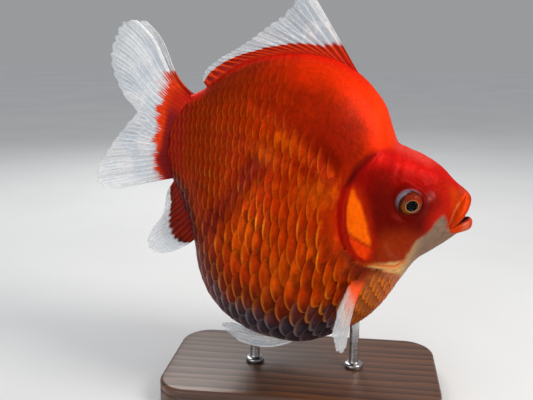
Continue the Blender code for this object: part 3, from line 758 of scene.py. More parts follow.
LOWEST_ROW, ROWS_END = -38, 14  # rows are counted from the lateral line, upwards
CALM_AT = -8.0  # the x from which a row's scales are counted, forwards and backwards
CROWN_AT, CROWN_BARE_ABOVE = 27.5, 8
SCALE_PARTS = (("upper", 1, 99), ("middle", -3, 1), ("lower", -7, -3), ("belly", -99, -7))
SCALE_DRAWS = 7  # random numbers for each scale; the last is spare


def around_table():
    """For each x: the body's angle at each distance round it from the lateral line, and the midlines."""
    angle = np.linspace(HALF, -HALF, 361)
    p = body(TABLE_X[:, None], angle[None, :])
    steps = np.hypot(np.diff(p[..., 1], axis=1), np.diff(p[..., 2], axis=1))
    arc = np.concatenate([np.zeros((len(TABLE_X), 1)), np.cumsum(steps, axis=1)], 1)
    angles = np.empty((len(TABLE_X), len(TABLE_D)))
    ends = np.empty((len(TABLE_X), 2))
    for i, x in enumerate(TABLE_X):
        line = np.interp(-lateral_z(x), -p[i, :, 2], arc[i])
        up = line - arc[i]
        angles[i] = np.interp(TABLE_D, up[::-1], angle[::-1])
        ends[i] = up[-1], up[0]
    return angles, ends


TABLE, ENDS = around_table()


def on_body(x, d):
    """Points of the left side at x and at distance d above the lateral line, round the body, and angles."""
    fx = np.clip((x - TABLE_X[0]) / TABLE_STEP, 0, len(TABLE_X) - 1.001)
    fd = np.clip((d - TABLE_D[0]) / TABLE_STEP, 0, len(TABLE_D) - 1.001)
    i, j = fx.astype(int), fd.astype(int)
    tx, td = fx - i, fd - j
    angle = ((TABLE[i, j] * (1 - td) + TABLE[i, j + 1] * td) * (1 - tx)
             + (TABLE[i + 1, j] * (1 - td) + TABLE[i + 1, j + 1] * td) * tx)
    return body(x, angle), angle


def midline_ends(x):
    """Distances from the lateral line round to the belly's midline and to the back's."""
    return np.interp(x, TABLE_X, ENDS[:, 0]), np.interp(x, TABLE_X, ENDS[:, 1])


def scale_places():
    """x, row and length factor of every scale of one side."""
    fine = np.arange(-69.0, 54.0, 0.05)
    count = np.cumsum(0.05 / SCALE_STEP(fine))
    calm = np.interp(CALM_AT, fine, count)
    places = []
    for row in range(LOWEST_ROW, ROWS_END):
        longer = 0.84 + 0.42 * float(smooth(-3, -6, row))
        own = (count - calm) / longer
        wanted = np.arange(math.ceil(own[0]), own[-1]) + 0.5 * (row % 2)
        x = np.interp(wanted, own, fine)
        d = row * ROW_TALL(x)
        low, high = midline_ends(x)
        z = on_body(x, np.clip(d, low, high))[0][:, 2]
        tip = on_body(x - SCALE_STEP(x), np.clip(d, low, high))[0]
        low_behind, high_behind = midline_ends(x - 1.3 * SCALE_STEP(x) * longer)
        keep = (d > np.minimum(low, low_behind) - 0.3) & (d < np.maximum(high, high_behind) + 0.3)
        keep &= behind_gills(x, z) > -2.6 + 4.2 * smooth(-27, -22, z) * smooth(4, -2, z)
        keep &= x - STALK_END(z) > 1.5
        keep &= np.maximum(relief(x, z), relief(tip[:, 0], tip[:, 2])) > 0.10
        keep &= (x < CROWN_AT) | (z < CROWN_BARE_ABOVE)
        places += [(a, row, longer) for a in x[keep]]
    return np.array(places)


def free_edge(across):
    """How far back a scale reaches across its height, as a share of its length."""
    return 0.54 + 0.46 * np.maximum(1 - np.abs(across) ** 2.4, 0) ** 0.56


def bared(along, across):
    """How far behind the scales in front of it a place on a scale lies, in scale steps."""
    free = free_edge(across)
    beside = np.clip((1 - np.abs(across) * SCALE_TALL) / SCALE_TALL, 0, 1)
    front = np.maximum(free - 1 / OVERLAP, free_edge(beside) - 0.5 / OVERLAP)
    return OVERLAP * (along * free - front)


def scale_rise(along, across, bold, lift):
    """Height of a scale's top over the body's surface."""
    rise = along ** 1.3 * free_edge(across)
    crown = 0.03 * (1 - np.abs(across) ** 2) * np.sin(np.pi * np.clip(along * 0.8, 0, 1))
    top = -0.8 * COAT + (0.8 * COAT + EDGE_STANDS + 0.07 * (lift - 0.5)) * rise + crown
    tucked = 0.34 * smooth(0.22, 0.0, along) + 0.25 * np.abs(across) ** 6 * smooth(0.95, 0.6, along)
    flat = 0.05 * smooth(0.4, 0.7, along) - 0.4 * np.abs(across) ** 4
    return top * bold - tucked + (1 - bold) * flat


def scale_shell(side, x0, row, longer, draws):
    """Points of scales' tops and undersides, of the body under them, and the roots' angles on it."""
    along, across = np.meshgrid(ALONG, ACROSS, indexing="ij")
    long = OVERLAP * SCALE_STEP(x0) * longer * (1 + 0.05 * (draws[0] - 0.5))
    root = 1 - 0.35 * (1 - along) * np.abs(across) ** 2
    tall = SCALE_TALL * (1 - 0.30 * (1 - along) ** 2) * (1 + 0.05 * (draws[1] - 0.5))
    x = x0 - long * along * free_edge(across) * root
    low, high = midline_ends(x)
    d = np.clip((row + across * tall) * ROW_TALL(x), low + 0.45, high - 0.45)
    p, angle = on_body(x, d)
    dx = on_body(x + 0.4, d)[0] - on_body(x - 0.4, d)[0]
    dd = on_body(x, d + 0.4)[0] - on_body(x, d - 0.4)[0]
    n = unit(np.cross(dx, dd))
    core = np.stack([x, 0 * x, level_line(x)], -1)
    n *= np.where(np.sum(n * (p - core), -1, keepdims=True) < 0, -1, 1)
    bold = np.maximum(relief(x, p[..., 2]), 0.12)
    top = scale_rise(along, across, bold, draws[2])
    upper = p + n * top[..., None]
    lower = p + n * (top - SCALE_THICK * (0.35 + 0.65 * bold))[..., None]
    if side < 0:
        upper, lower, p = (q * np.array([1, -1, 1]) for q in (upper, lower, p))
    return upper, lower, p, angle[:, 0, len(ACROSS) // 2]


def rim_share(along, across):
    """How far a place lies on a scale's pale rim, partly its own colour and partly a painted highlight,
    which fades towards its upper end.
    """
    edge = smooth(0.88, 0.94, along) * (1 - 0.4 * smooth(0.98, 1.0, along))
    return edge * (0.24 + 0.76 * smooth(0.35, -0.45, across))


def glint_share(along, across, middle):
    """How far a place lies on the short painted glint of a scale's rim."""
    return bump_at(np.hypot((along - 0.93) / 0.035, (across - middle) / 0.3), 1.0)


def scale_colours(p, lie, row, draws):
    """Markings at each scale: its pale rim, partly painted highlight, a painted glint, painted shade where
    it comes out from under the scales in front, a deeper middle and a little tone of its own.
    """
    along, across = lie[..., 0], lie[..., 1]
    x, y, z = p[..., 0], p[..., 1], p[..., 2]
    down = lowness(x, z)
    bold = np.maximum(relief(x, z), 0.04)
    strength = np.sqrt(bold)
    gold = smooth(0.08, 0.34, down) * smooth(1.0, 0.6, down) * smooth(-52, -34, x)
    chest = smooth(-3, 3, inside(BREAST_AREA, x, z))
    low, lowest = (smooth(a, b, down) * smooth(32, 24, x) for a, b in ((0.58, 0.72), (0.73, 0.84)))
    middle = p[:, 7:8, 6:7, :]
    even = 0.35 * np.clip(relief(x, z), 0, 1)[..., None]
    own = paint(even * middle + (1 - even) * p)
    own = own * (1 + 0.14 * (draws[4] - 0.5) * strength)[..., None]
    own = own * (1 + 0.30 * brushed(x, 0.3 * z + 0.3 * y, 0.8, 31.0) * smooth(0.45, 0.6, along))[..., None]
    # painted shade where a scale comes out from under the scales in front of it
    shade = smooth(0.75, 0.0, bared(along, across)) ** 1.5 * (0.5 + 0.5 * smooth(-0.5, 0.3, across))
    shade = shade * smooth(1.0, 7.0, behind_gills(x, z))
    own = own * (1 - (0.34 + 0.30 * gold + 0.26 * low) * shade * strength)[..., None]
    own = painted(
        own,
        (CHEST_DEEP, 0.55 * chest * smooth(0.97, 0.8, along)),
        (LOW_DEEP, 0.8 * low * (1 - smooth(0.70, 0.80, down)) * smooth(0.97, 0.8, along)))
    cluster = noise(p, 13.0, 21.0)
    light = 0.6 * draws[5] + 0.8 * smooth(0.3, 0.7, cluster) - 0.3
    # the rim's pale colour, partly its own and partly painted highlight
    rim_sheen = 0.25 + 0.45 * gold * light + 0.45 * low + 0.2 * lowest + 0.75 * chest
    rim_sheen = np.clip(rim_share(along, across) * rim_sheen * strength, 0, 1)
    # a short painted glint on the rims of some scales in the golden zone
    glint = glint_share(along, across, -0.32 + 0.5 * (draws[0] - 0.5))
    glint = glint * gold * bold * smooth(0.74, 0.9, draws[5] + 0.25 * (cluster - 0.5))
    pores = bump_at(across, 0.12) * smooth(0.66, 0.74, along) * smooth(0.93, 0.86, along) * (row == 0)
    return painted(
        own,
        (mix(mix(RIM_GOLD, RIM_BRONZE, low), RIM_PALE, lowest), rim_sheen),
        (GLINT, 0.55 * glint),
        (LATERAL_LINE, 0.4 * pores)), rim_sheen


def make_scales(look):
    """Both sides' scales in four joined pieces each, every scale a closed plate of its own."""
    places = scale_places()
    shape = (len(ALONG), len(ACROSS))
    size = 2 * shape[0] * shape[1]
    for side, label in ((1, "left"), (-1, "right")):
        side_draws = rng.random((len(places), SCALE_DRAWS))
        plate = plate_faces(*shape)[:, ::side]
        for part, above, below in SCALE_PARTS:
            keep = (places[:, 1] > above) & (places[:, 1] <= below)
            count = int(keep.sum())
            x0, row, longer = places[keep].T[:, :, None, None]
            draws = side_draws[keep].T[:, :, None, None]
            upper, lower, p, angle = scale_shell(side, x0, row, longer, draws)
            lie = np.zeros(p.shape)
            lie[..., 0], lie[..., 1], lie[..., 2] = ALONG[:, None], ACROSS, draws[3]
            tint, rim = scale_colours(p, lie, row, draws)
            tint, lie, rim = (plate_values(v, v, count) for v in (tint, lie, rim[..., None]))
            faces = (plate[None] + (size * np.arange(count))[:, None, None]).reshape(-1, 4)
            piece = mesh_piece(f"scales_{label}_{part}", world(plate_values(upper, lower, count)), faces,
                               look, tint, {"lie": lie, "rim": rim[:, 0]})
            patches(piece, x0.ravel(), angle, side, lie, size)


def patches(piece, x0, angle, side, lie, per_scale):
    """The OFBake map: each scale a small patch at its root's place on the skin unrolled by x and angle."""
    margin, width, height = 0.02, 0.003, 0.0015
    across = np.where(side > 0, angle, math.pi - angle)
    u, v = (x0 + 70) / 128, np.mod(across + HALF, 2 * math.pi) / (2 * math.pi)
    u, v = (np.repeat(margin + (1 - 2 * margin) * share, per_scale) for share in (u, v))
    spots = np.stack([u + width * (0.5 - lie[:, 0]), v + height * lie[:, 1]], -1).astype(np.float32)
    loops = np.empty(len(piece.data.loops), np.int32)
    piece.data.loops.foreach_get("vertex_index", loops)
    made = piece.data.uv_layers.new(name="OFBake")
    made.data.foreach_set("uv", spots[loops].ravel())


# ---- the fins

DORSAL_ROOT = [(0, 10, 0, 45.2), (0.25, -6, 0, 49), (0.5, -22, 0, 47), (0.75, -38, 0, 40),
               (1, -52.5, 0, 26.5)]
DORSAL_EDGE = [(0, -17, 0, 75), (0.05, -20.5, 0, 72.5), (0.12, -24, 0, 65.5), (0.28, -32, 0, 56.3),
               (0.5, -41, 0, 46.8), (0.75, -49.5, 0, 39.5), (0.92, -54.6, 0, 33), (1, -55.2, 0, 29)]
TAIL_ROOT = [(0, -58.4, 2.4, 21.6), (0.2, -63, 4.2, 16.6), (0.4, -65.6, 4.9, 8.6), (0.6, -66, 5, 0.5),
             (0.8, -64.4, 4.4, -8), (1, -61, 3.4, -15.8)]
TAIL_EDGE = [(0, -85.6, 6.4, 48.8), (0.05, -90.5, 7, 47.8), (0.14, -93.3, 8.4, 41.5),
             (0.22, -94, 9.6, 34.6), (0.32, -91.2, 10.8, 25.5), (0.42, -84, 12, 16.2),
             (0.48, -78.4, 12, 11.5), (0.54, -81, 14, 6.6), (0.64, -85.3, 17.5, -3),
             (0.76, -89.4, 19, -13.5), (0.87, -89.5, 18.4, -20), (0.95, -85, 16.8, -22.8),
             (1, -79.8, 15, -22.4)]
ANAL_ROOT = [(0, -59.5, 3, -16.2), (0.35, -54, 3.8, -24), (0.7, -49.5, 4.6, -33), (1, -45.4, 5.6, -40.5)]
ANAL_EDGE = [(0, -61.6, 5.2, -22), (0.2, -61.2, 6.8, -30.5), (0.42, -64.6, 9.6, -39.5),
             (0.55, -65.6, 11, -44.2), (0.7, -61.5, 11.4, -48.7), (0.85, -55, 11, -47.6),
             (1, -47.6, 8.6, -42.8)]
PELVIC_ROOT = [(0, 12, 13, -70.6), (0.5, 8, 12.4, -71.8), (1, 4.5, 11.8, -72.6)]
PELVIC_EDGE = [(0, -15.6, 15.2, -79), (0.2, -20.7, 15.2, -76.8), (0.42, -25.4, 14.6, -73.3),
               (0.65, -23, 13.4, -72.4), (1, -12, 12, -75.2)]
PECTORAL_ROOT = [(0, 31.2, 22.5, -34.2), (0.5, 28.2, 24, -35.2), (1, 25.4, 25.2, -36)]
PECTORAL_EDGE = [(0, 28.2, 42.0, -57.0), (0.12, 27.8, 44.8, -58.7), (0.3, 26.0, 48.4, -57.8),
                 (0.52, 23.2, 51.0, -53.4), (0.74, 21.6, 50.4, -47.6), (0.9, 22.2, 45.8, -42.6),
                 (1, 23.4, 39.8, -39.4)]

FIN_RED, FIN_ORANGE, FIN_DEEP = srgb(186, 16, 3), srgb(240, 74, 6), srgb(140, 14, 4)
# the third is the anal fin's red painted darker, as in shade
TAIL_DEEP, TAIL_FRINGE, ANAL_RED_IN_SHADE = srgb(120, 20, 24), srgb(236, 62, 6), srgb(44, 18, 20)
FIN_WHITE, FIN_BLUE = srgb(226, 230, 236), srgb(206, 218, 230)
RAY_WHITE, RAY_CREAM = srgb(250, 250, 250), srgb(246, 230, 218)
PECTORAL_RED, PECTORAL_SHADE = srgb(246, 84, 8), srgb(96, 10, 3)
PECTORAL_FILM, PECTORAL_BLUSH = srgb(232, 190, 180), srgb(236, 116, 84)

# root, edge and band go from the fin's first ray (0) to its last (1); start: how far the fin goes on
# inside the body; band: how far out the red reaches; comb, jag, soft: teeth to a ray along the red's edge,
# their length, its softness; bow, sway: how the fin bends; mirror: the sides it is made on; thick: at its
# root; streaks, cream, dense: how strong its streaks are, how warm its rays and how much more solid it is
FIN_USUAL = {"start": -0.10, "comb": 1, "jag": 0.45, "soft": 0.03, "bow": (0, 0, 0), "sway": (0, 0, 0),
             "mirror": (1, -1), "thick": 1.6, "streaks": 0.75, "dense": 0.0, "cream": 1.0}
FINS = {
    "dorsal_fin": {"root": DORSAL_ROOT, "edge": DORSAL_EDGE, "rays": 19, "grid": (286, 52), "start": -0.12,
                   "mirror": (1,), "thick": 1.9,
                   "band": [(0, 0.34), (0.1, 0.33), (0.3, 0.46), (0.6, 0.61), (0.85, 0.7), (1, 0.75)]},
    "tail_fin": {"root": TAIL_ROOT, "edge": TAIL_EDGE, "rays": 23, "grid": (300, 70), "comb": 2, "jag": 1.0,
                 "sway": (-1.1, 0, -1.1), "thick": 1.9, "streaks": 0.6, "dense": 0.06, "cream": 0.0,
                 "band": [(0, 0.32), (0.15, 0.23), (0.3, 0.21), (0.5, 0.24), (0.7, 0.17), (1, 0.16)]},
    "anal_fin": {"root": ANAL_ROOT, "edge": ANAL_EDGE, "rays": 12, "grid": (150, 44), "start": -0.16,
                 "band": [(0, 0.6), (0.3, 0.5), (0.6, 0.42), (1, 0.6)]},
    "pelvic_fin": {"root": PELVIC_ROOT, "edge": PELVIC_EDGE, "rays": 9, "grid": (120, 60),
                   "bow": (0, 0.8, -3.6), "dense": 0.12, "band": [(0, 0.12), (0.5, 0.16), (1, 0.2)]},
    "pectoral_fin": {"root": PECTORAL_ROOT, "edge": PECTORAL_EDGE, "rays": 12, "grid": (140, 52),
                     "start": -0.14, "bow": (-1.6, 0.8, 0), "thick": 1.7, "soft": 0.09, "dense": 0.28,
                     "band": [(0, 0.40), (0.3, 0.31), (1, 0.24)]},
}
FILM_HALF, RAY_HALF, ROOT_FADES = 0.12, 0.22, 0.13
RAY_JOINTS = 34


def fin_grid(fin):
    """For each point of a fin: s along the root, v out to the edge, and w, v without the edge's notches."""
    across, out = fin["grid"]
    s, w = np.meshgrid(np.linspace(0, 1, across), np.linspace(0, 1, out) ** 0.9, indexing="xy")
    rays = fin["rays"]
    torn = 0.5 - 0.5 * np.cos(2 * np.pi * rays * s)
    notch = (0.012 + 0.022 * hashed(np.floor(s * rays) + 21)) * (1 - torn)
    notch = notch + 0.004 * hashed(np.floor(s * rays * 4))
    ends = smooth(0.0, 0.05, s) * smooth(1.0, 0.95, s)
    return s, fin["start"] + (1 - notch * ends - fin["start"]) * w, w


def fin_middle(fin, s, v):
    """Points halfway through a fin's thickness."""
    a, b = path_through(fin["root"])(s), path_through(fin["edge"])(s)
    lift = np.sin(np.pi * np.clip(v, 0, 1))[..., None] * np.array(fin["bow"])
    wave = np.sin(2 * np.pi * np.clip(v, 0, 1))[..., None] * np.array(fin["sway"])
    return a + (b - a) * v[..., None] + (1 - s)[..., None] * (lift + wave)


def ray_strength(fin, s, v):
    """How strongly a place on a fin lies on one of its rays, which fork twice on their way out."""
    rays, step = fin["rays"], 0.002
    cell, number = np.mod(s * rays, 1.0), np.floor(s * rays)
    first = 0.46 + 0.10 * (hashed(number + 3) - 0.5)
    second = 0.74 + 0.08 * (hashed(number + 9) - 0.5)
    spread = 0.25 * smooth(first, first + 0.3, v)
    finer = 0.125 * smooth(second, second + 0.22, v)
    near = np.full(np.shape(cell), 9.0)
    for a in (-1, 1):
        for b in (-1, 1):
            near = np.minimum(near, np.abs(cell - 0.5 - a * spread - b * finer))
    beside = fin_middle(fin, np.clip(s + step, 0, 1), v) - fin_middle(fin, np.clip(s - step, 0, 1), v)
    width = np.linalg.norm(beside, axis=-1) / (2 * step) / rays
    return bump_at(near * width, 0.42 - 0.22 * smooth(0.1, 0.9, v))


def fin_half(fin, v, w, ray, lead):
    """Half the fin's thickness: fleshy at the root, with jointed rays and a strong first one."""
    joints = 0.5 + 0.5 * np.cos(2 * np.pi * v * RAY_JOINTS)
    flesh = np.exp(-np.maximum(v, 0) / ROOT_FADES)
    half = FILM_HALF + 0.5 * fin["thick"] * flesh
    half = half + ray * (RAY_HALF - 0.12 * smooth(0.2, 1, v)) * (1 - 0.10 * joints)
    half = half * (0.35 + 0.65 * smooth(1.0, 0.93, w))
    return half + 0.34 * lead * (1 - 0.75 * np.clip(v, 0, 1))


def fin_red(fin, p, s, v):
    """1 where the fin is red, near its root, and 0 outside the ragged edge of that."""
    teeth = fin["comb"] * fin["rays"] * s
    comb = 0.5 + 0.5 * np.cos(2 * np.pi * teeth)
    ragged = hashed(np.floor(teeth + 0.5) + 5)
    fringe = waver(p * np.array([0.45, 1, 1]), 1.5, 14.0)
    jagged = fin["jag"] * ((0.02 + 0.10 * ragged) * (comb - 0.4) + 0.14 * fringe)
    return smooth(fin["soft"], -fin["soft"], v - line_through(fin["band"])(s) - jagged)


def make_fin(name, fin, side, look):
    """One fin as a closed plate, with its rays raised on both faces."""
    across, out = fin["grid"]
    rays = fin["rays"]
    s, v, w = fin_grid(fin)
    p = fin_middle(fin, s, v)
    n = grid_normals(p)
    n *= np.sign(n[out // 2, across // 2, 1])
    ray = ray_strength(fin, s, v)
    lead = bump_at(s * rays, 0.55)
    ripple = 0.30 * np.sin(2 * np.pi * (rays / 3.1) * s + 1.3) * smooth(0.1, 0.8, v) * (1 - lead)
    ripple = ripple + 0.14 * np.sin(2 * np.pi * rays * s) * smooth(0.1, 0.6, v)
    p = p + n * ripple[..., None]
    tint, clear = fin_colours(name, fin, p, s, v, ray, lead)
    if side < 0:
        p, n = p * np.array([1, -1, 1]), n * np.array([1, -1, 1])
    half = fin_half(fin, v, w, ray, lead)[..., None]
    tint, clear, ray = (plate_values(a, a) for a in (tint, clear[..., None], ray[..., None]))
    label = name if len(fin["mirror"]) == 1 else f"{name}_{'left' if side > 0 else 'right'}"
    mesh_piece(f"goldfish_{label}", world(plate_values(p + n * half, p - n * half)),
               plate_faces(out, across, turned=True), look, tint,
               {"clear": clear[:, 0], "ray": ray[:, 0]}, replaces=(label,), closed=True)


def fin_colours(name, fin, p, s, v, ray, lead):
    """A fin's colours and how solid it is: red and dense at the root, pale film and rays outside."""
    cloud, grain = waver(p, 6.0, 11.0), waver(p, 1.8, 12.0)
    streaks, wide = fin["streaks"], ray ** 0.3
    orange = wide * smooth(0.0, 0.25, v) * streaks + 0.3 * cloud + 0.1
    base = mix(FIN_RED, FIN_ORANGE, np.clip(orange, 0, 1))
    base = mix(base, FIN_DEEP, 0.8 * streaks * (1 - wide) * smooth(0.08, 0.3, v))
    film = mix(FIN_WHITE, FIN_BLUE, smooth(-0.2, 0.3, cloud))
    rays = mix(RAY_WHITE, RAY_CREAM, fin["cream"] * smooth(0.7, 0.3, v))
    outer = painted(film, (rays, ray), (RAY_WHITE, lead))
    if name == "tail_fin":
        base = painted(
            base,
            (TAIL_FRINGE, 0.8 * smooth(0.07, 0.17, v + 0.1 * cloud)),
            (TAIL_DEEP, 0.85 * smooth(0.15, 0.04, v + 0.1 * cloud) * smooth(0.16, 0.34, s)))
    if name == "anal_fin":
        # the anal fin's red painted darker, as in shade
        base = mix(base * 0.45, ANAL_RED_IN_SHADE, 0.8 * smooth(-0.05, 0.15, cloud + 0.5 * grain))
    if name == "pectoral_fin":
        base = painted(
            base,
            (PECTORAL_RED, 0.8),
            (PECTORAL_SHADE, 0.85 * smooth(0.13, 0.0, v + 0.1 * cloud)))
        outer = mix(outer, PECTORAL_FILM, 0.55 * smooth(0.95, 0.4, v)) * 0.72
        outer = mix(outer, PECTORAL_BLUSH, 0.5 * smooth(0.6, 0.3, v))
    if name == "pelvic_fin":
        base = mix(base, FIN_DEEP, 0.5)
    red = fin_red(fin, p, s, v)
    solid = 0.50 + 0.24 * ray + 0.10 * smooth(0.1, -0.1, cloud)
    solid = solid * (1 - 0.5 * smooth(0.3, 1.0, v) * (1 - lead)) + 0.3 * lead
    clear = np.clip(mix_number(solid + fin["dense"], 1.0, np.clip(red * 1.2, 0, 1)), 0, 1)
    return mix(outer, base, np.clip(red, 0, 1)), clear


# ---- the eyes

IRIS, IRIS_DARK, IRIS_LINE = srgb(152, 36, 2), srgb(66, 22, 6), srgb(60, 26, 20)
IRIS_GOLD, PUPIL, PUPIL_RING = srgb(168, 104, 24), srgb(0, 0, 0), srgb(222, 164, 96)
GLOBE_RADIUS, PUPIL_REACH, IRIS_REACH, CORNEA_REACH = EYE_RADIUS - 0.25, 2.5, 4.9, 4.9
EYE_SIDES, CORNEA_RINGS = 96, 30
FRONT_RINGS = [0.02, 0.8, 1.5, 2.0, 2.3, 2.45, 2.52, 2.65, 2.85, 3.1, 3.5, 3.9, 4.3, 4.7, 4.95, 5.15,
               5.4, 5.7, 5.9]


def lathe(profile, axis, at, sides):
    """Points and quads of a surface turned round an axis from its (radius, height) points."""
    axis = np.asarray(axis, float) / np.linalg.norm(axis)
    aside = np.cross(axis, [0.0, 0.0, 1.0] if abs(axis[2]) < 0.9 else [1.0, 0.0, 0.0])
    aside /= np.linalg.norm(aside)
    other = np.cross(axis, aside)
    angle = np.linspace(0, 2 * math.pi, sides, endpoint=False)
    ring = np.cos(angle)[:, None] * aside + np.sin(angle)[:, None] * other
    r, h = np.array(profile, float).T
    points = np.asarray(at) + r[:, None, None] * ring[None] + h[:, None, None] * axis
    return points, grid_faces(len(profile), sides, wrap=True)


def globe_profile():
    """The eyeball's section: a flat iris with a sunk pupil in front, the globe round it and behind."""
    profile = []
    for r in FRONT_RINGS:
        height = math.sqrt(GLOBE_RADIUS ** 2 - r ** 2)
        flat = math.sqrt(GLOBE_RADIUS ** 2 - IRIS_REACH ** 2) + 0.05 + 1.15 * (1 - (r / IRIS_REACH) ** 2)
        dip = 0.75 * float(smooth(PUPIL_REACH + 0.1, PUPIL_REACH - 0.35, r))
        rim = 0.14 * float(bump_at(r - 2.68, 0.16))
        share = float(smooth(IRIS_REACH - 0.1, IRIS_REACH + 0.35, r))
        profile.append((r, (flat - dip + rim) * (1 - share) + height * share))
    widest_ring = math.acos(math.sqrt(GLOBE_RADIUS ** 2 - FRONT_RINGS[-1] ** 2) / GLOBE_RADIUS)
    for turn in np.linspace(0, 1.96 * HALF - math.radians(12), 16)[1:]:
        angle = widest_ring + turn
        if angle < math.radians(177):
            profile.append((GLOBE_RADIUS * math.sin(angle), GLOBE_RADIUS * math.cos(angle)))
    profile.append((0.02, -GLOBE_RADIUS))
    return profile


def globe_colours(profile, points, middle):
    """The pupil and its gold ring, the streaked iris and the white."""
    r = np.array(profile)[:, 0][:, None] + np.zeros(EYE_SIDES)
    front = (np.arange(len(profile)) < len(FRONT_RINGS))[:, None]
    round_eye = np.linspace(0, 2 * math.pi, EYE_SIDES)
    streak = waver(np.stack([r * 0.5, 9 * np.sin(round_eye) + 0 * r, 9 * np.cos(round_eye) + 0 * r], -1),
                   1.0, 3.0)
    high = (points[..., 2] - middle[2]) / 5
    over = (points[..., 2] - middle[2]) / np.maximum(r, 1)
    ahead = (points[..., 0] - middle[0]) / np.maximum(r, 1)
    dark = 0.38 + 0.9 * streak - 0.3 * high - 0.3 * ahead + 0.5 * smooth(4.2, 5.3, r)
    limit = 5.3 + 0.5 * smooth(0.62, 1.0, over + 0.9 * np.maximum(ahead, 0))
    return painted(
        mix(IRIS, IRIS_DARK, np.clip(dark, 0, 1)),
        (IRIS_GOLD, 0.42 * bump_at(r - 3.6, 0.6) * smooth(0.3, 1.1, -ahead - over)),
        (PUPIL_RING, bump_at(r - 2.64, 0.15) * (0.75 - 0.25 * np.clip(high * 2, -1, 1))),
        (PUPIL, smooth(2.56, 2.44, r) * front),
        (IRIS_LINE, 0.7 * bump_at(r - limit + 0.05, 0.2)),
        (EYE_WHITE, smooth(limit, limit + 0.15, r)))


def make_eye(side, globe_look, cornea_look):
    """The eyeball and the clear shell over its iris."""
    middle, axis = (v * np.array([1, -side, 1]) for v in eye_frame(EYE_LOOKS))
    name = "left" if side > 0 else "right"
    profile = globe_profile()
    points, faces = lathe(profile, axis, middle, EYE_SIDES)
    mesh_piece(f"eye_globe_{name}", world(points), faces, globe_look,
               globe_colours(profile, points, middle), replaces=(f"eye_{name}",), closed=True)
    angle = np.linspace(0.003, math.asin(CORNEA_REACH / GLOBE_RADIUS), CORNEA_RINGS)
    lift = 0.17 * smooth(CORNEA_REACH, CORNEA_REACH - 0.8, GLOBE_RADIUS * np.sin(angle))
    outer, inner = (np.stack([reach * np.sin(angle), reach * np.cos(angle)], -1)
                    for reach in (GLOBE_RADIUS - 0.02 + lift, GLOBE_RADIUS - 0.10 + 0.8 * lift))
    points, faces = lathe(np.concatenate([outer, inner[::-1]]), axis, middle, EYE_SIDES)
    mesh_piece(f"eye_cornea_{name}", world(points), faces, cornea_look, closed=True)


# ---- the stand

BASE_CORNER, BASE_BEVEL, CORNER_STEPS, BASE_TALL = 14.0, 1.6, 16, 10.0
BASE_SIDE = [(-0.6, 0.0), (-0.15, 0.15), (0, 0.6), (0, 5.6), (-0.05, 5.8), (-0.35, 5.95), (-0.35, 6.35),
             (-0.05, 6.5), (0, 6.7), (0, BASE_TALL - BASE_BEVEL)]  # how far out, how high; it has a groove
ROD_RADIUS, COLLAR_RADIUS, COLLAR_SIDE, COLLAR_BEVEL, COLLAR_TALL = 2.2, 4.2, 1.35, 0.9, 2.4
ROD_SIDES, ROD_HIDDEN = 64, 3.0  # how far a rod goes on inside the fish


def bevel(radius, steps):
    """How far in and how far up the points of a quarter round lie."""
    return [(radius * (1 - math.cos(a)), radius * math.sin(a)) for a in np.linspace(0, HALF, steps + 1)[1:]]


def make_base(look):
    """The wooden base: a round-cornered board with a groove along its side and a bevelled top."""
    low, high = (np.array(v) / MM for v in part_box("stand_base"))
    half, middle = 0.5 * (high - low)[:2], 0.5 * (high + low)[:2]
    straight = half - BASE_CORNER
    outline = []
    for k, corner in enumerate(((1, 1), (-1, 1), (-1, -1), (1, -1))):
        for angle in HALF * (k + np.arange(CORNER_STEPS + 1) / CORNER_STEPS):
            outline.append(corner * straight + BASE_CORNER * np.array([math.cos(angle), math.sin(angle)]))
    outline = np.array(outline)
    away = outline - np.sign(outline) * np.maximum(straight, 0)
    away /= np.linalg.norm(away, axis=1, keepdims=True)
    top_edge = [(-inset, BASE_TALL - BASE_BEVEL + rise) for inset, rise in bevel(BASE_BEVEL, 8)]
    rows = [np.column_stack([outline + away * reach + middle, np.full(len(outline), low[2] + height)])
            for reach, height in BASE_SIDE + top_edge + [(-6.0, BASE_TALL)]]
    under, over = (np.concatenate([middle, [low[2] + height]]) for height in (0, BASE_TALL))
    rows = [under + (rows[0] - under) * t for t in (0.01, 0.5)] + rows
    rows += [over + (rows[-1] - over) * t for t in (0.8, 0.5, 0.25, 0.01)]
    mesh_piece("stand_base_wood", MM * np.array(rows), grid_faces(len(rows), len(outline), wrap=True),
               look, replaces=("stand_base",), closed=True)


def make_rod(node, look):
    """A steel rod in a turned collar on the base."""
    low, high = (np.array(v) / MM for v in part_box(node))
    middle = 0.5 * (low + high)
    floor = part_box("stand_base")[1][2] / MM
    shoulder, neck, top = floor + COLLAR_SIDE, floor + COLLAR_TALL, high[2] + ROD_HIDDEN
    foot = neck + 0.8
    profile = [(0.02, floor + 0.02), (COLLAR_RADIUS - 0.25, floor + 0.02), (COLLAR_RADIUS, floor + 0.25),
               (COLLAR_RADIUS, shoulder)]
    profile += [(COLLAR_RADIUS - inset, shoulder + rise) for inset, rise in bevel(COLLAR_BEVEL, 6)]
    profile += [(ROD_RADIUS + 0.5, neck + 0.05), (ROD_RADIUS + 0.12, neck + 0.3), (ROD_RADIUS, foot)]
    profile += [(ROD_RADIUS, foot + (top - foot) * t) for t in (0.33, 0.66, 1.0)]
    profile += [(ROD_RADIUS - 0.4, top + 0.4), (0.02, top + 0.5)]
    points, faces = lathe(profile, (0, 0, 1), (middle[0], middle[1], 0), ROD_SIDES)
    mesh_piece(node.replace("stand_", "stand_steel_"), MM * points, faces, look,
               replaces=(node,), closed=True)


# ---- materials

WET = {"Specular IOR Level": 0.07, "Specular Tint": (1.0, 0.42, 0.2, 1.0), "Coat Weight": 0.02}


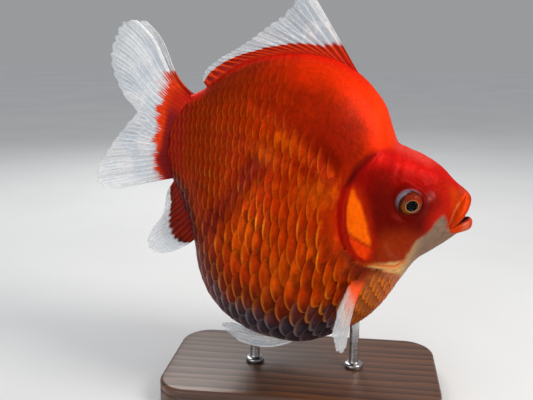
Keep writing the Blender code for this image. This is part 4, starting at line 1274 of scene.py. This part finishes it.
def new_look(name):
    """A new material, its nodes and its shader."""
    look = bpy.data.materials.new(name)
    look.use_nodes = True
    return look, look.node_tree, look.node_tree.nodes["Principled BSDF"]


def feed(node, inputs):
    """Gives each input named its value, or joins another node's output to it."""
    for key, value in inputs.items():
        if isinstance(value, bpy.types.NodeSocket):
            node.id_data.links.new(value, node.inputs[key])
        else:
            node.inputs[key].default_value = value


def add(tree, kind, inputs=None, **settings):
    """A new shader node with its settings made and its inputs fed."""
    made = tree.nodes.new("ShaderNode" + kind)
    for key, value in settings.items():
        setattr(made, key, value)
    feed(made, inputs or {})
    return made


def held(tree, name, output):
    """A value held at the piece's points."""
    return add(tree, "Attribute", attribute_name=name).outputs[output]


def lumps(tree, size, detail=3.0):
    """Noise with lumps of about the given size in millimetres."""
    place = add(tree, "TexCoord").outputs["Object"]
    return add(tree, "TexNoise", {"Vector": place, "Scale": 1 / (size * MM), "Detail": detail,
                                  "Roughness": 0.55}).outputs["Fac"]


def spread(tree, value, low, high, to_low, to_high):
    """The value's range from low to high laid over the range from to_low to to_high."""
    return add(tree, "MapRange", {"Value": value, "From Min": low, "From Max": high,
                                  "To Min": to_low, "To Max": to_high}).outputs["Result"]


def mottle(tree, size, low, high, detail=3.0):
    """A value that wanders between low and high in lumps of the given size in millimetres."""
    return spread(tree, lumps(tree, size, detail), 0.3, 0.7, low, high)


def bands(tree, vector, direction, scale, distortion, detail, **settings):
    """Waves of light and dark bands across a direction."""
    return add(tree, "TexWave", {"Vector": vector, "Scale": scale, "Distortion": distortion,
                                 "Detail": detail},
               wave_type="BANDS", bands_direction=direction, **settings)


def bump_node(tree, height, depth, strength, under=None):
    """A normal bent by a height of the given depth in millimetres, over another bump's if there is one."""
    made = add(tree, "Bump", {"Height": height, "Strength": strength, "Distance": depth * MM})
    if under:
        feed(made, {"Normal": under})
    return made.outputs["Normal"]


def tinted_look(name, size, low, high, detail=4.0):
    """A material in the colours held at the points, mottled in lumps of the given size."""
    look, tree, shader = new_look(name)
    mottled = add(tree, "Mix", {"Factor": 1.0, 6: held(tree, "tint", "Color"),
                                7: mottle(tree, size, low, high, detail)},
                  data_type="RGBA", blend_type="MULTIPLY").outputs[2]
    feed(shader, {"Base Color": mottled})
    return look, tree, shader


def skin_look():
    """Wet skin: broad lumps over fine pores, a faint metallic sheen and a little light let through."""
    look, tree, shader = tinted_look("goldfish_skin_look", 1.6, 0.86, 1.12)
    pores = bump_node(tree, lumps(tree, 0.45), 0.10, 0.5)
    feed(shader, {**WET, "Coat Roughness": 0.28, "Metallic": 0.28,
                  "Roughness": mottle(tree, 0.9, 0.44, 0.6),
                  "Normal": bump_node(tree, lumps(tree, 2.4, 2.0), 0.25, 0.6, pores),
                  "Subsurface Weight": 0.12, "Subsurface Radius": (1.0, 0.25, 0.1),
                  "Subsurface Scale": 0.0016})
    return look


def scale_look():
    """Wet scales with fine rings and spokes, and rims that shine more than the rest."""
    look, tree, shader = tinted_look("goldfish_scale_look", 1.3, 0.84, 1.14)
    lie = held(tree, "lie", "Vector")
    rings = bands(tree, lie, "X", 5.0, 0.6, 1.0).outputs["Fac"]
    spokes = bands(tree, lie, "Y", 3.2, 0.8, 1.0).outputs["Fac"]
    fine = bump_node(tree, rings, 0.012, 0.5)
    fine = bump_node(tree, spokes, 0.02, 0.5, fine)
    feed(shader, {**WET, "Coat Roughness": 0.25, "Roughness": mottle(tree, 0.8, 0.36, 0.52),
                  "Metallic": spread(tree, held(tree, "rim", "Fac"), 0.0, 0.6, 0.35, 0.6),
                  "Normal": bump_node(tree, lumps(tree, 0.5), 0.06, 0.4, fine)})
    return look


def fin_look():
    """Fin skin, as solid at each place as its points say."""
    look, tree, shader = tinted_look("goldfish_fin_look", 1.2, 0.88, 1.08)
    solid = add(tree, "Math", {0: held(tree, "clear", "Fac"), 1: mottle(tree, 2.0, 0.88, 1.1)},
                operation="MULTIPLY", use_clamp=True)
    feed(shader, {"Alpha": solid.outputs["Value"], "Roughness": mottle(tree, 0.7, 0.28, 0.45),
                  "Normal": bump_node(tree, lumps(tree, 0.5), 0.06, 0.5), "Specular IOR Level": 0.1})
    return look


def globe_look():
    """The eyeball: matte, because the shine is on the cornea."""
    look, tree, shader = tinted_look("eye_globe_look", 0.5, 0.85, 1.15, 3.0)
    feed(shader, {"Roughness": mottle(tree, 0.4, 0.5, 0.65), "Specular IOR Level": 0.04,
                  "Normal": bump_node(tree, lumps(tree, 0.35), 0.02, 0.4)})
    return look


def cornea_look():
    """Clear, with a gloss that grows where it turns away from the viewer."""
    look, tree, shader = new_look("eye_cornea_look")
    gloss = add(tree, "BsdfGlossy", {"Color": (1, 1, 1, 1), "Roughness": mottle(tree, 3.0, 0.10, 0.16)})
    facing = add(tree, "LayerWeight", {"Blend": 0.35}).outputs["Facing"]
    steep = add(tree, "Math", {0: facing, 1: 3.0}, operation="POWER").outputs["Value"]
    blend = add(tree, "MixShader", {"Fac": spread(tree, steep, 0.0, 1.0, 0.005, 0.3),
                                    1: add(tree, "BsdfTransparent").outputs["BSDF"],
                                    2: gloss.outputs["BSDF"]})
    feed(tree.nodes["Material Output"], {"Surface": blend.outputs["Shader"]})
    tree.nodes.remove(shader)
    return look


def ramp(tree, value, *stops):
    """A colour for the value, from stops of a place and a colour."""
    made = add(tree, "ValToRGB", {"Fac": value})
    points = made.color_ramp.elements
    while len(points) < len(stops):
        points.new(0.5)
    for point, (place, colour) in zip(points, stops):
        point.position = place
        point.color = (*colour, 1.0)
    return made.outputs["Color"]


def stretched(tree, scale):
    """The object's own coordinates, scaled along each axis."""
    place = add(tree, "TexCoord").outputs["Object"]
    return add(tree, "Mapping", {"Vector": place, "Scale": scale}).outputs["Vector"]


def wood_look():
    """Dark wood with its grain along the base."""
    look, tree, shader = new_look("stand_wood_look")
    place = stretched(tree, (14.0, 130.0, 130.0))
    warp = add(tree, "TexNoise", {"Vector": place, "Scale": 1.1, "Detail": 5.0, "Roughness": 0.6,
                                  "Distortion": 0.5})
    grain = bands(tree, place, "Y", 0.42, 6.0, 4.0, wave_profile="SAW")
    feed(grain, {"Detail Scale": 1.4})
    both = add(tree, "Mix", {"Factor": 0.45, 2: grain.outputs["Fac"], 3: warp.outputs["Fac"]},
               data_type="FLOAT").outputs[0]
    dark, mid, pale = (tuple(srgb(*c)) for c in ((58, 34, 22), (92, 56, 36), (124, 80, 52)))
    feed(shader, {"Base Color": ramp(tree, both, (0.15, dark), (0.5, mid), (0.9, pale)),
                  "Roughness": spread(tree, both, 0.2, 0.8, 0.46, 0.32),
                  "Normal": bump_node(tree, both, 0.08, 0.5), "Coat Weight": 0.25, "Coat Roughness": 0.25})
    return look


def steel_look():
    """Brushed steel, its lines round the rods."""
    look, tree, shader = new_look("stand_steel_look")
    lines = add(tree, "TexNoise", {"Vector": stretched(tree, (120.0, 120.0, 2600.0)), "Scale": 1.0,
                                   "Detail": 3.0, "Roughness": 0.6}).outputs["Fac"]
    feed(shader, {"Base Color": ramp(tree, lines, (0.3, (0.42, 0.42, 0.43)), (0.7, (0.62, 0.62, 0.64))),
                  "Roughness": spread(tree, lines, 0.3, 0.7, 0.22, 0.38),
                  "Normal": bump_node(tree, lines, 0.02, 0.4), "Metallic": 1.0})
    return look


def floor_look():
    """A pale matte floor, a little uneven in tone."""
    look, tree, shader = new_look("floor_look")
    tone = ramp(tree, lumps(tree, 160.0), (0.3, (0.80, 0.81, 0.82)), (0.7, (0.86, 0.87, 0.88)))
    feed(shader, {"Base Color": tone, "Roughness": 0.75})
    return look


# ---- room, light, camera

CAMERA_AT, CAMERA_AIM, LENS = (0.02453, -0.29236, 0.15589), (-0.01656, 0.0, 0.08773), 46.0
LIGHTS_AIM, FLOOR_REACH = (-0.005, 0, 0.1), 4


def stand_in_scene(obj):
    """Puts an object in the scene and hands it back."""
    bpy.context.scene.collection.objects.link(obj)
    return obj


def aim(obj, place, target):
    """Puts a light or the camera at a place, facing the target."""
    obj.location = place
    obj.rotation_euler = (Vector(target) - obj.location).to_track_quat("-Z", "Y").to_euler()


def make_room():
    """The floor and a pale world round it."""
    corners = [(x * FLOOR_REACH, y * FLOOR_REACH, 0) for x, y in ((-1, -1), (1, -1), (1, 1), (-1, 1))]
    me = bpy.data.meshes.new("floor")
    me.from_pydata(corners, [], [(0, 1, 2, 3)])
    me.materials.append(floor_look())
    floor = stand_in_scene(bpy.data.objects.new("floor", me))
    room = bpy.data.worlds.new("pale_room")
    room.use_nodes = True
    feed(room.node_tree.nodes["Background"], {"Color": (0.88, 0.90, 0.93, 1), "Strength": 0.36})
    bpy.context.scene.world = room


def make_light(name, place, size, power, colour):
    """One round light that faces the fish."""
    data = bpy.data.lights.new(name, "AREA")
    data.shape, data.size, data.energy, data.color = "DISK", size, power, colour
    aim(stand_in_scene(bpy.data.objects.new(name, data)), place, LIGHTS_AIM)


def make_camera():
    """The camera at the photograph's viewing angle."""
    data = bpy.data.cameras.new("camera")
    data.lens, data.sensor_width, data.clip_start = LENS, 36.0, 0.01
    camera = stand_in_scene(bpy.data.objects.new("camera", data))
    aim(camera, CAMERA_AT, CAMERA_AIM)
    bpy.context.scene.camera = camera


def make_lights():
    """Key, fill and rim lights, an even light from above, and the plain colour view."""
    make_light("key", (0.50, -0.20, 0.52), 0.30, 3.2, (1.0, 0.96, 0.90))
    make_light("fill", (-0.40, -0.65, 0.30), 0.5, 1.3, (0.96, 0.98, 1.0))
    make_light("rim", (-0.2, 0.5, 0.5), 0.35, 1.6, (1.0, 0.98, 0.95))
    sky = bpy.data.lights.new("ceiling", "SUN")
    sky.energy, sky.angle = 0.19, math.radians(80)
    stand_in_scene(bpy.data.objects.new("ceiling", sky))
    bpy.context.scene.view_settings.view_transform = "Standard"


# ---- everything

make_camera()
make_room()
make_lights()
make_skin(skin_look())
make_scales(scale_look())
membrane = fin_look()
for fin_name, own in FINS.items():
    fin = {**FIN_USUAL, **own}
    for side in fin["mirror"]:
        make_fin(fin_name, fin, side, membrane)
iris, cornea = globe_look(), cornea_look()
for side in (1, -1):
    make_eye(side, iris, cornea)
make_base(wood_look())
steel = steel_look()
for node in ("stand_rod_front", "stand_rod_rear"):
    make_rod(node, steel)
